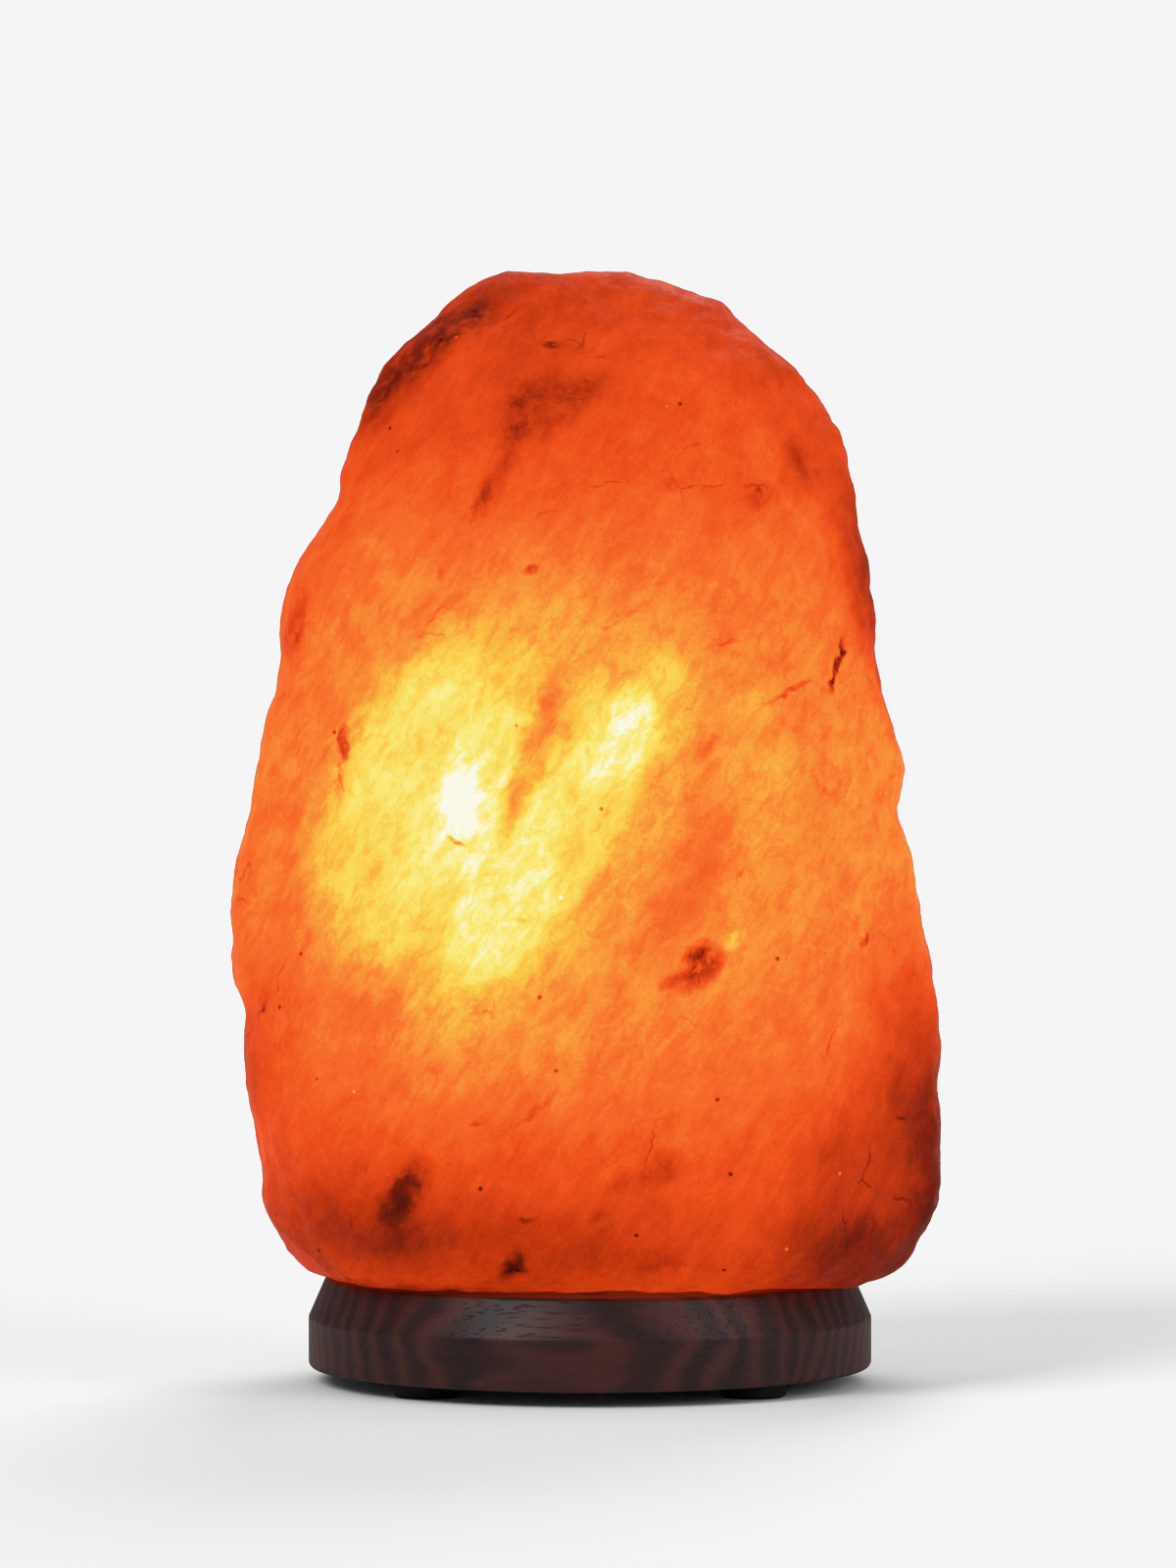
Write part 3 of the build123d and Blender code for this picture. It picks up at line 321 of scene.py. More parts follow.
    def added(self, first: Socket, share: float, second: Socket, other_share: float) -> Socket:
        """Adds up two patterns, each by its own share.

        Args:
            first: One pattern.
            share: How much of it counts.
            second: The other pattern.
            other_share: How much of that counts.

        Returns:
            The sum.
        """
        return self.maths(
            "ADD",
            self.maths("MULTIPLY", first, share),
            self.maths("MULTIPLY", second, other_share),
        )

    def reach(self, value: Socket, span: Span) -> Socket:
        """Turns a range of values smoothly into another.

        Args:
            value: What is read.
            span: The range, and what its ends become.

        Returns:
            The result.
        """
        made = self.node("ShaderNodeMapRange", interpolation_type="SMOOTHSTEP")
        self.join(value, made.inputs["Value"])
        made.inputs["From Min"].default_value = span.start
        made.inputs["From Max"].default_value = span.end
        made.inputs["To Min"].default_value = span.low
        made.inputs["To Max"].default_value = span.high
        return made.outputs["Result"]

    def ramp(self, value: Socket, *stops: tuple[float, Colour]) -> Socket:
        """A colour for each value.

        Args:
            value: What is read, 0 to 1.
            *stops: Places from 0 to 1 with their colours, in order.

        Returns:
            The colour output.
        """
        made = self.node("ShaderNodeValToRGB")
        points = made.color_ramp.elements
        while len(points) < len(stops):
            points.new(0.5)
        for point, (place, colour) in zip(points, stops):
            point.position = place
            point.color = (*colour, 1)
        self.join(value, made.inputs["Fac"])
        return made.outputs["Color"]

    def bump(self, height: Socket, depth: float, strength: float = 1.0) -> None:
        """Raises the surface's relief by a height pattern.

        Args:
            height: The pattern, 0 to 1.
            depth: How high its 1 stands.
            strength: How much of it shows.
        """
        made = self.node("ShaderNodeBump")
        made.inputs["Strength"].default_value = strength
        made.inputs["Distance"].default_value = depth
        self.join(height, made.inputs["Height"])
        self.join(made.outputs["Normal"], self.surface.inputs["Normal"])


# ---------------------------------------------------------------- rock salt


class Side(Enum):
    """The face of the block on which a patch lies."""

    FRONT = "front"
    BACK = "back"
    LEFT = "left"
    RIGHT = "right"


@dataclass(frozen=True)
class Patch:
    """A soft-edged region of the block where more, or less, glow is painted than round it.

    Lengths are in millimetres. On the front and back, across is X; on the sides it is Y. The
    patch is twice as wide as its width, and longer than that by its stretch, along its tilt.
    """

    across: float
    height: float
    width: float
    stretch: float
    tilt: float
    gain: float
    core: float = 0.0
    side: Side = Side.FRONT


@dataclass(frozen=True)
class RockSalt:
    """The finish of the lit block: painted glow and shade as emission, stains, streaks, grain and
    gloss.

    Heights and distances of the glow and of the sides are in millimetres, as in the patches. The
    noise, the spacings, the warps and the relief are in metres.
    """

    name: str = "rock_salt_painted_glow"
    filament_height: float = 106.0
    near: float = 48.0
    far: float = 116.0
    near_glow: float = 0.64
    far_glow: float = 0.29
    front_start: float = 14.0
    front_end: float = -6.0
    back_start: float = 7.0
    back_end: float = 20.0
    flank_start: float = 30.0
    flank_end: float = 48.0
    warps: tuple[tuple[float, float], ...] = ((0.020, 0.004), (0.0055, 0.0042), (0.0018, 0.0014))
    warp_detail: float = 2.0
    clouds: Cloud = Cloud(0.009, 4.0, 0.6)
    cloud_strength: float = 0.16
    crust: Mottle = Mottle(Cloud(0.0030, 6.0, 0.72, 0.5), Span(0.36, 0.60, -0.5, 0.35))
    crust_stretch: Triple = (0.50, 0.75, 1.0)
    crust_strength: Span = Span(0.35, 0.85, 0.03, 0.12)
    stain_edges: Mottle = Mottle(Cloud(0.0045, 5.0, 0.7), Span(0.32, 0.62, 0.25, 1.25))
    streak_tilt: float = 58.0
    streak_stretch: Triple = (0.22, 0.5, 1.0)
    streak_strength: float = 0.19
    coarse_streaks: Cloud = Cloud(0.0034, 5.0, 0.62, 0.6)
    fine_streaks: Cloud = Cloud(0.0011, 4.0, 0.6, 0.3)
    coarse_share: float = 0.7
    fine_share: float = 0.3
    vein_spacing: float = 0.017
    vein_line: Span = Span(0.026, 0.004, 0.0, 0.12)
    vein_places: Mottle = Mottle(Cloud(0.016, 3.0, 0.6), Span(0.58, 0.68))
    speck_spacing: float = 0.011
    speck: Span = Span(0.055, 0.02, 0.0, 0.30)
    glint_spacing: float = 0.016
    glint_turn: Triple = (0.4, 1.1, 0.7)
    glint: Span = Span(0.030, 0.012, 0.0, 0.28)
    sugar: Cloud = Cloud(0.0006, 2.0)
    sugar_strength: float = 0.10
    polish: Mottle = Mottle(Cloud(0.004, 4.0), Span(0.3, 0.7, 0.30, 0.55))
    relief: Cloud = Cloud(0.0016, 6.0, 0.65)
    relief_depth: float = 0.0007
    relief_strength: float = 0.8
    streak_relief: float = 0.5
    emission: float = 0.965
    gloss: float = 0.05
    refraction: float = 1.54
    patches: tuple[Patch, ...] = (
        # The painted glow of the bulb behind the left half of the front
        Patch(-30, 113, 27, 1.5, 75, 0.19, 0.6),
        Patch(-12, 116, 36, 1.5, 60, 0.08),
        Patch(-26, 147, 12, 3, 45, 0.11),
        Patch(-40, 124, 9, 2, 75, 0.06, 0.3),
        Patch(-36, 101, 9, 2, 60, 0.05),
        # The painted white heart of the glow and the lobe under it
        Patch(-27, 115, 13, 1.5, 75, 0.06, 0.2),
        # The painted bright band of glow to the right of the dark seam
        Patch(-2.5, 114, 10.5, 3, 60, 0.11, 0.6),
        Patch(-17, 95, 11, 1.5, 60, 0.10, 0.6),
        Patch(-18, 87, 8, 2, 30, 0.08),
        Patch(5, 129, 9.5, 1.5, 60, 0.14, 0.4),
        Patch(13.5, 139, 9.5, 1.5, 45, 0.13, 0.2),
        Patch(11, 127, 5, 2, 60, 0.08),
        Patch(0, 138, 5, 1.5, 60, 0.08),
        Patch(-7, 92, 8, 2, 60, 0.09),
        Patch(17, 131, 6, 2, 60, 0.09),
        Patch(-6, 151, 9, 2, 45, 0.09),
        Patch(-13, 145, 5, 1.5, 45, 0.08),
        Patch(12, 151, 9, 1.5, 45, 0.04),
        Patch(-39, 163, 18, 2, 75, 0.07),
        # Fainter painted glow to the right and below
        Patch(35, 121, 8, 2, 60, 0.05),
        Patch(33, 136, 7, 1.5, 45, 0.05),
        Patch(27, 90, 2.5, 2, 30, 0.14),
        Patch(-25, 79, 10, 2, 30, 0.06),
        Patch(-24, 70, 20, 2, 30, 0.07),
        Patch(-52, 92, 8, 5, 90, 0.04),
        Patch(16, 201, 22, 2, 150, 0.07),
        Patch(-26, 203, 10, 2, 45, 0.06),
        Patch(38, 168, 16, 2, 105, 0.05),
        # Dark seam, and the redder wedge to its right
        Patch(-11, 126, 4.4, 5, 75, -0.20, 0.2),
        Patch(-20, 103, 2.2, 3, 60, -0.10, 0.2),
        Patch(-34, 86, 4, 5, 60, -0.05),
        Patch(18.5, 101, 8, 3, 60, -0.09, 0.3),
        Patch(20, 117, 4, 3, 60, -0.05),
        Patch(-16, 115, 3, 3, 75, -0.12, 0.3),
        # Painted shade where the salt is thick near the foot, at the crown and by both edges, and on
        # the turned-away right side, with a thin painted contact shadow along the foot
        Patch(70, 50, 19, 3, 105, -0.26),
        Patch(58, 24, 21, 2, 15, -0.19),
        Patch(50, 46, 17, 2, 60, -0.10),
        Patch(61, 154, 13.5, 3, 105, -0.40),
        Patch(-44, 34, 18, 2, 0, -0.13),
        Patch(-68, 66, 10, 3, 75, -0.11),
        Patch(-4, 30, 14, 3, 0, -0.10),
        Patch(-10, 45, 24, 2, 0, -0.05),
        Patch(-30, 21, 4, 8, 0, -0.16),
        Patch(-16, 218, 5, 3, 15, -0.05),
        # Painted glow, brighter and darker in patches, on the back and the two sides
        Patch(14, 112, 22, 1.5, 120, 0.26, side=Side.BACK),
        Patch(10, 104, 8, 2, 120, 0.20, 0.3, side=Side.BACK),
        Patch(26, 126, 7, 2, 120, 0.14, 0.3, side=Side.BACK),
        Patch(-28, 92, 8, 2, 60, 0.10, side=Side.BACK),
        Patch(0, 118, 3.6, 8, 120, -0.16, 0.4, side=Side.BACK),
        Patch(-44, 58, 14, 2, 60, -0.12, side=Side.BACK),
        Patch(14, 108, 20, 1.5, 75, 0.16, side=Side.LEFT),
        Patch(8, 98, 7, 2, 60, 0.10, 0.3, side=Side.LEFT),
        Patch(20, 60, 9, 2, 60, -0.10, side=Side.LEFT),
        Patch(16, 120, 14, 2, 105, 0.12, side=Side.RIGHT),
        Patch(8, 96, 6, 3, 60, 0.08, side=Side.RIGHT),
    )
    glow_limit: float = 0.91
    # The painted white heart of the glow round the filament, added above the glow limit
    heart: tuple[Patch, ...] = (
        Patch(-25.3, 116, 5.6, 1.5, 75, 0.14, 0.35),
        Patch(-23, 103, 5, 2, 75, 0.03),
        Patch(5, 129, 4.6, 1.5, 60, 0.04),
    )
    stains: tuple[Patch, ...] = (
        Patch(-34, 203, 8.5, 2, 45, 0.19),
        Patch(-24, 211, 6, 2, 30, 0.16),
        Patch(-42, 194, 6, 2, 60, 0.13),
        Patch(-9, 193, 8, 1.5, 30, 0.13, 0.3),
        Patch(0, 197, 4, 2, 30, 0.12),
        Patch(-16, 184, 3.5, 5, 75, 0.12),
        Patch(-21, 174, 2.6, 3, 75, 0.22),
        Patch(-11.5, 161, 1.4, 2, 0, 0.25),
        Patch(-7, 206, 1.2, 2, 30, 0.22),
        Patch(42, 182, 6, 1.5, 120, 0.14),
        Patch(33, 176, 3, 1.5, 30, 0.12),
        Patch(16, 178, 2.5, 2, 30, 0.08),
        Patch(-48, 128, 1.7, 3, 90, 0.26, 0.3),
        Patch(21, 86, 4.8, 1.5, 45, 0.40, 0.2),
        Patch(15, 83, 2.4, 1.5, 30, 0.16),
        Patch(48, 143, 0.9, 8, 75, 0.40, 0.3),
        Patch(38, 138, 0.9, 8, 30, 0.22, 0.2),
        Patch(23, 127, 2.4, 2, 45, 0.16),
        Patch(-25.5, 109, 0.9, 3, 150, 0.30, 0.2),
        Patch(2, 113, 0.6, 8, 60, 0.20),
        Patch(-36, 42, 5.2, 2, 60, 0.22, 0.2),
        Patch(-38, 33, 4, 2, 45, 0.07),
        Patch(-14.5, 27, 3.4, 1.5, 60, 0.22, 0.2),
        Patch(-12, 36, 1.2, 2, 15, 0.22),
        Patch(13.5, 46, 4.6, 2, 30, 0.15),
        Patch(5, 43, 3, 1.5, 30, 0.10),
        Patch(2, 38, 2.2, 2, 45, 0.10),
        Patch(14, 28, 2.2, 3, 0, 0.10),
        Patch(-11, 58, 1.0, 8, 45, 0.14),
        Patch(-64, 76, 0.9, 3, 75, 0.26),
        Patch(53, 90, 1.2, 2, 30, 0.24),
        Patch(-58, 150, 4, 2, 75, 0.20),
        Patch(57, 172, 3, 3, 105, 0.18),
        Patch(50, 31, 7, 2, 30, 0.07),
        Patch(30, 170, 5, 2, 45, 0.26, side=Side.BACK),
        Patch(-20, 66, 3, 3, 60, 0.30, side=Side.BACK),
        Patch(24, 46, 5, 2, 30, 0.22, side=Side.BACK),
        Patch(18, 150, 2, 3, 75, 0.26, side=Side.LEFT),
        Patch(14, 62, 4, 2, 45, 0.24, side=Side.RIGHT),
        Patch(16, 160, 3, 3, 120, 0.22, side=Side.RIGHT),
    )
    glow_stops: tuple[tuple[float, Colour], ...] = (
        (0.00, linear(40, 10, 4)),
        (0.15, linear(130, 30, 8)),
        (0.29, linear(198, 54, 10)),
        (0.42, linear(238, 78, 24)),
        (0.54, linear(249, 112, 42)),
        (0.64, linear(250, 152, 58)),
        (0.74, linear(251, 196, 68)),
        (0.84, linear(251, 224, 96)),
        (0.92, linear(251, 240, 136)),
        (1.00, linear(251, 252, 236)),
    )
    body_stops: tuple[tuple[float, Colour], ...] = (
        (0.00, linear(26, 10, 6)),
        (0.30, linear(60, 16, 4)),
        (1.00, linear(70, 24, 4)),
    )

    def make(self) -> bpy.types.Material:
        """Builds the material.

        Returns:
            The material.
        """
        shader = Shader(self.name)
        warped = self._warped(shader)
        streaks = self._streaks(shader)
        heat = self._glow(shader, warped, streaks)
        glow = shader.ramp(heat, *self.glow_stops)
        # The base colour follows the painted glow: darker where the glow is painted darker
        body = shader.ramp(heat, *self.body_stops)
        shader.paint(Emission_Color=glow, Base_Color=body, Roughness=shader.mottle(self.polish))
        shader.constant(
            Emission_Strength=self.emission,
            Specular_IOR_Level=self.gloss,
            IOR=self.refraction,
        )
        rough = shader.noise(self.relief, warped)
        relief = shader.maths("MULTIPLY_ADD", streaks, self.streak_relief, rough)
        shader.bump(relief, self.relief_depth, self.relief_strength)
        # The block is seen to glow, but isn't sampled as a lamp, which keeps the render quick
        shader.material.cycles.emission_sampling = "NONE"
        return shader.material

    def _glow(self, shader: Shader, warped: Socket, streaks: Socket) -> Socket:
        """The glow painted at each place on the block, standing in for the bulb's light through the
        salt.

        Args:
            shader: The material being built.
            warped: Where the patches are read.
            streaks: The fibres of the salt.

        Returns:
            The painted glow, from 0 for dark salt to 1 for the white heart.
        """
        leans: dict[tuple[str, float, float], Socket] = {}
        masks = self._masks(shader)
        # heat is the level of the painted glow, starting from its painted falloff away from the
        # filament
        heat = self._painted_bulb_falloff(shader, warped)
        for side, mask in masks.items():
            light = self._sum_patches(shader, warped, self.patches, side, leans)
            heat = shader.maths("MULTIPLY_ADD", light, mask, heat)
        heat = shader.maths("MINIMUM", heat, self.glow_limit)
        heart = self._sum_patches(shader, warped, self.heart, Side.FRONT, leans)
        heat = shader.maths("MULTIPLY_ADD", heart, masks[Side.FRONT], heat)
        lively = shader.reach(heat, self.crust_strength)
        heat = shader.maths("MULTIPLY_ADD", streaks, self.streak_strength, heat)
        clouds = shader.maths("SUBTRACT", shader.noise(self.clouds, warped), 0.5)
        heat = shader.maths("MULTIPLY_ADD", clouds, self.cloud_strength, heat)
        crust = shader.mottle(self.crust, self._slanted(shader, self.crust_stretch))
        heat = shader.maths("MULTIPLY_ADD", crust, lively, heat)
        ragged = shader.mottle(self.stain_edges, warped)
        for side, mask in masks.items():
            stain = self._sum_patches(shader, warped, self.stains, side, leans)
            stain = shader.maths("MULTIPLY", stain, mask)
            stain = shader.maths("MULTIPLY", stain, ragged)
            heat = shader.maths("SUBTRACT", heat, stain)
        heat = self._veins(shader, warped, heat)
        return self._specks(shader, heat)

    def _warped(self, shader: Shader) -> Socket:
        """Object coordinates pushed about by noise, so that no patch has a plain outline.

        Args:
            shader: The material being built.

        Returns:
            The vector output.
        """
        place = shader.place
        for grain, push in self.warps:
            cloud = shader.noise(Cloud(grain, self.warp_detail), output="Color")
            centred = shader.node("ShaderNodeVectorMath", operation="SUBTRACT")
            shader.join(cloud, centred.inputs[0])
            centred.inputs[1].default_value = (0.5, 0.5, 0.5)
            moved = shader.node("ShaderNodeVectorMath", operation="MULTIPLY_ADD")
            shader.join(centred.outputs["Vector"], moved.inputs[0])
            moved.inputs[1].default_value = (push, push, push)
            shader.join(place, moved.inputs[2])
            place = moved.outputs["Vector"]
        return place

    def _painted_bulb_falloff(self, shader: Shader, warped: Socket) -> Socket:
        """The painted glow that falls off with distance from the filament.

        Args:
            shader: The material being built.
            warped: Where it is read.

        Returns:
            The glow, 0 to 1.
        """
        apart = shader.node("ShaderNodeVectorMath", operation="DISTANCE")
        shader.join(warped, apart.inputs[0])
        apart.inputs[1].default_value = (0, 0, self.filament_height * MILLIMETRE)
        fading = Span(
            self.near * MILLIMETRE, self.far * MILLIMETRE, self.near_glow, self.far_glow
        )
        return shader.reach(apart.outputs["Value"], fading)

    def _masks(self, shader: Shader) -> dict[Side, Socket]:
        """How far each point belongs to each side of the block.

        Args:
            shader: The material being built.

        Returns:
            A share, 0 to 1, for each side.
        """
        split = shader.node("ShaderNodeSeparateXYZ")
        shader.join(shader.place, split.inputs["Vector"])
        reaches = {
            Side.FRONT: ("Y", self.front_start, self.front_end),
            Side.BACK: ("Y", self.back_start, self.back_end),
            Side.LEFT: ("X", -self.flank_start, -self.flank_end),
            Side.RIGHT: ("X", self.flank_start, self.flank_end),
        }
        return {
            side: shader.reach(split.outputs[axis], Span(start * MILLIMETRE, end * MILLIMETRE))
            for side, (axis, start, end) in reaches.items()
        }

    def _sum_patches(
        self,
        shader: Shader,
        warped: Socket,
        patches: tuple[Patch, ...],
        side: Side,
        leans: dict[tuple[str, float, float], Socket],
    ) -> Socket | float:
        """Adds up the patches on one side.

        Args:
            shader: The material being built.
            warped: Where they are read.
            patches: The patches of every side.
            side: The side wanted.
            leans: The turned and stretched coordinates made so far.

        Returns:
            The sum.
        """
        total: Socket | float = 0.0
        for patch in patches:
            if patch.side is not side:
                continue
            turn = math.radians(patch.tilt)
            plane = "XZ" if side in (Side.FRONT, Side.BACK) else "YZ"
            key = (plane, patch.tilt, patch.stretch)
            if key not in leans:
                leans[key] = self._lean(shader, warped, *key)
            along = patch.across * math.cos(turn) + patch.height * math.sin(turn)
            beside = patch.height * math.cos(turn) - patch.across * math.sin(turn)
            away = shader.node("ShaderNodeVectorMath", operation="DISTANCE")
            shader.join(leans[key], away.inputs[0])
            away.inputs[1].default_value = (
                along / patch.stretch * MILLIMETRE,
                0,
                beside * MILLIMETRE,
            )
            edge = patch.width * MILLIMETRE
            share = shader.reach(away.outputs["Value"], Span(edge, edge * patch.core))
            total = shader.maths("MULTIPLY_ADD", share, patch.gain, total)
        return total

    def _lean(
        self, shader: Shader, warped: Socket, plane: str, tilt: float, stretch: float
    ) -> Socket:
        """Coordinates seen square on, turned and then shortened along the tilt.

        Args:
            shader: The material being built.
            warped: Where they are read.
            plane: "XZ" for the front and back, "YZ" for the sides.
            tilt: How far the first axis is turned up, in degrees.
            stretch: How much it is shortened.

        Returns:
            The vector output, with nothing along its second axis.
        """
        quarter = math.pi / 2 if plane == "YZ" else 0.0
        facing = shader.node("ShaderNodeMapping", vector_type="POINT")
        facing.inputs["Rotation"].default_value = (0, 0, -quarter)
        shader.join(warped, facing.inputs["Vector"])
        turned = shader.node("ShaderNodeMapping", vector_type="POINT")
        turned.inputs["Rotation"].default_value = (0, math.radians(tilt), 0)
        shader.join(facing.outputs["Vector"], turned.inputs["Vector"])
        scaled = shader.node("ShaderNodeVectorMath", operation="MULTIPLY")
        shader.join(turned.outputs["Vector"], scaled.inputs[0])
        scaled.inputs[1].default_value = (1 / stretch, 0, 1)
        return scaled.outputs["Vector"]

    def _streaks(self, shader: Shader) -> Socket:
        """Fine slanting fibres of the salt, about zero.

        Args:
            shader: The material being built.

        Returns:
            The streak pattern, about -0.5 to 0.5.
        """
        along = self._slanted(shader, self.streak_stretch)
        coarse = shader.noise(self.coarse_streaks, along)
        fine = shader.noise(self.fine_streaks, along)
        weighted = shader.maths("MULTIPLY", coarse, self.coarse_share)
        both = shader.maths("MULTIPLY_ADD", fine, self.fine_share, weighted)
        return shader.maths("SUBTRACT", both, 0.5)

    def _slanted(self, shader: Shader, stretch: Triple) -> Socket:
        """Object coordinates turned along the fibres of the salt.

        Args:
            shader: The material being built.
            stretch: Factor along each axis, less than 1 to draw a pattern out.

        Returns:
            The vector output.
        """
        return shader.mapped((0, math.radians(self.streak_tilt), 0), stretch)

    def _veins(self, shader: Shader, warped: Socket, heat: Socket) -> Socket:
        """Draws thin dark cracks that wander through the salt in a few places.

        Args:
            shader: The material being built.
            warped: Where they are read.
            heat: The glow so far.

        Returns:
            The glow with cracks.
        """
        walls = shader.cells(self.vein_spacing, warped, "DISTANCE_TO_EDGE")
        line = shader.reach(walls, self.vein_line)
        vein = shader.maths("MULTIPLY", line, shader.mottle(self.vein_places))
        return shader.maths("SUBTRACT", heat, vein)

    def _specks(self, shader: Shader, heat: Socket) -> Socket:
        """Scatters a few dark grains, and tiny painted glints, over the glow.

        Args:
            shader: The material being built.
            heat: The glow so far.

        Returns:
            The glow with specks.
        """
        dark = shader.reach(shader.cells(self.speck_spacing), self.speck)
        heat = shader.maths("SUBTRACT", heat, dark)
        # Painted glints: tiny bright spots added to the glow
        turned = shader.mapped(self.glint_turn)
        light = shader.reach(shader.cells(self.glint_spacing, turned), self.glint)
        heat = shader.maths("ADD", heat, light)
        sugar = shader.maths("SUBTRACT", shader.noise(self.sugar), 0.5)
        return shader.maths("MULTIPLY_ADD", sugar, self.sugar_strength, heat)


# ---------------------------------------------------------------- other finishes


@dataclass(frozen=True)
class StainedWood:
    """Dark stained and lacquered wood, with its grain along X and its pores showing."""

    name: str = "dark_wood"
    light: Colour = linear(92, 44, 38)
    middle: Colour = linear(62, 27, 26)
    dark: Colour = linear(33, 13, 14)
    ring_spacing: float = 0.0065
    ring_wander: float = 7.0
    ring_detail: float = 4.0
    ring_detail_scale: float = 1.3
    ring_share: float = 0.55
    lie: Triple = (0.05, 0.03, 0.12)
    stretch: Triple = (0.10, 1.0, 0.75)
    fibre: Cloud = Cloud(0.0012, 5.0, 0.65)
    fibre_share: float = 0.55
    patches: Cloud = Cloud(0.030, 2.0)
    patch_strength: float = 0.3
    pore_lie: Triple = (0, 0, 0.12)
    pore_stretch: Triple = (0.08, 1, 1)
    pores: Mottle = Mottle(Cloud(0.0005, 3.0, 0.6), Span(0.42, 0.30))
    roughness: float = 0.46
    pore_roughness: float = 0.25
    lacquer: float = 0.10
    lacquer_roughness: float = 0.30
    relief_depth: float = 0.00016
    relief_strength: float = 0.7

    def make(self) -> bpy.types.Material:
        """Builds the material.

        Returns:
            The material.
        """
        shader = Shader(self.name)
        along = shader.mapped(self.lie, self.stretch)
        fibre = shader.noise(self.fibre, along)
        grain = shader.added(self._rings(shader, along), self.ring_share, fibre, self.fibre_share)
        patches = shader.noise(self.patches)
        patchy = shader.maths(
            "MULTIPLY_ADD", patches, self.patch_strength, -self.patch_strength / 2
        )
        grain = shader.maths("ADD", grain, patchy)
        colour = shader.ramp(grain, (0.15, self.dark), (0.5, self.middle), (0.9, self.light))
        pores = shader.mottle(self.pores, shader.mapped(self.pore_lie, self.pore_stretch))
        rough = shader.maths("MULTIPLY_ADD", pores, self.pore_roughness, self.roughness)
        shader.paint(Base_Color=colour, Roughness=rough)
        shader.constant(Coat_Weight=self.lacquer, Coat_Roughness=self.lacquer_roughness)
        relief = shader.maths("SUBTRACT", grain, pores)
        shader.bump(relief, self.relief_depth, self.relief_strength)
        return shader.material

    def _rings(self, shader: Shader, along: Socket) -> Socket:
        """The year rings, wandering a little.

        Args:
            shader: The material being built.
            along: Where they are read.

        Returns:
            The pattern, 0 to 1.
        """
        rings = shader.node("ShaderNodeTexWave", wave_type="RINGS", rings_direction="X")
        rings.inputs["Scale"].default_value = 1 / self.ring_spacing / 2
        rings.inputs["Distortion"].default_value = self.ring_wander
        rings.inputs["Detail"].default_value = self.ring_detail
        rings.inputs["Detail Scale"].default_value = self.ring_detail_scale
        shader.join(along, rings.inputs["Vector"])
        return rings.outputs["Fac"]


@dataclass(frozen=True)
class Metal:
    """Plated, drawn or sprung metal, with brushing, blotches and faint scratches."""

    name: str
    light: Colour
    dark: Colour
    roughness: float = 0.30
    brushing: Cloud = Cloud(0.0010, 4.0, 0.6)
    brushing_share: float = 0.6
    brushing_stretch: Triple = (1, 1, 0.08)
    roughness_drop: float = 0.08
    blotches: Cloud = Cloud(0.006, 4.0, 0.6)
    tarnish: float = 0.35
    roughness_spread: float = 0.22
    thread_pitch: float = 0.0
    thread_depth: float = 0.0003
    scratch_depth: float = 0.00003
    relief_strength: float = 0.9

    def make(self) -> bpy.types.Material:
        """Builds the material.

        Returns:
            The material.
        """
        shader = Shader(self.name)
        blotch = shader.noise(self.blotches)
        drawn = shader.mapped(scale=self.brushing_stretch)
        brushed = shader.noise(self.brushing, drawn)
        tone = shader.added(blotch, self.tarnish, brushed, self.brushing_share)
        colour = shader.ramp(tone, (0.25, self.dark), (0.70, self.light))
        smoothest = self.roughness - self.roughness_drop
        rough = shader.maths("MULTIPLY_ADD", tone, self.roughness_spread, smoothest)
        shader.paint(Base_Color=colour, Roughness=rough)
        shader.constant(Metallic=1.0)
        if self.thread_pitch:
            shader.bump(self._thread(shader), self.thread_depth, self.relief_strength)
        else:
            shader.bump(brushed, self.scratch_depth, self.relief_strength)
        return shader.material

    def _thread(self, shader: Shader) -> Socket:
        """The rounds of a fine thread along Z.

        Args:
            shader: The material being built.

        Returns:
            The pattern, 0 to 1.
        """
        groove = shader.node("ShaderNodeTexWave", bands_direction="Z", wave_profile="TRI")
        groove.inputs["Scale"].default_value = math.pi / 10 / self.thread_pitch
        shader.join(shader.place, groove.inputs["Vector"])
        return groove.outputs["Fac"]


@dataclass(frozen=True)
class Moulding:
    """Moulded plastic, fired ceramic or rubber: an even colour with fine texture and dust."""

    name: str
    light: Colour
    dark: Colour
    roughness: float = 0.5
    texture: float = 0.0006
    relief: float = 0.00004
    clouds: Cloud = Cloud(0.010, 4.0, 0.6)
    cloud_share: float = 0.6
    texture_share: float = 0.4
    texture_roughness: float = 0.6
    roughness_drop: float = 0.12
    roughness_spread: float = 0.25
    relief_strength: float = 0.9

    def make(self) -> bpy.types.Material:
        """Builds the material.

        Returns:
            The material.
        """
        shader = Shader(self.name)
        cloud = shader.noise(self.clouds)
        fine = shader.noise(Cloud(self.texture, roughness=self.texture_roughness))
        tone = shader.added(cloud, self.cloud_share, fine, self.texture_share)
        colour = shader.ramp(tone, (0.3, self.dark), (0.7, self.light))
        smoothest = self.roughness - self.roughness_drop
        rough = shader.maths("MULTIPLY_ADD", cloud, self.roughness_spread, smoothest)
        shader.paint(Base_Color=colour, Roughness=rough)
        shader.bump(fine, self.relief, self.relief_strength)
        return shader.material


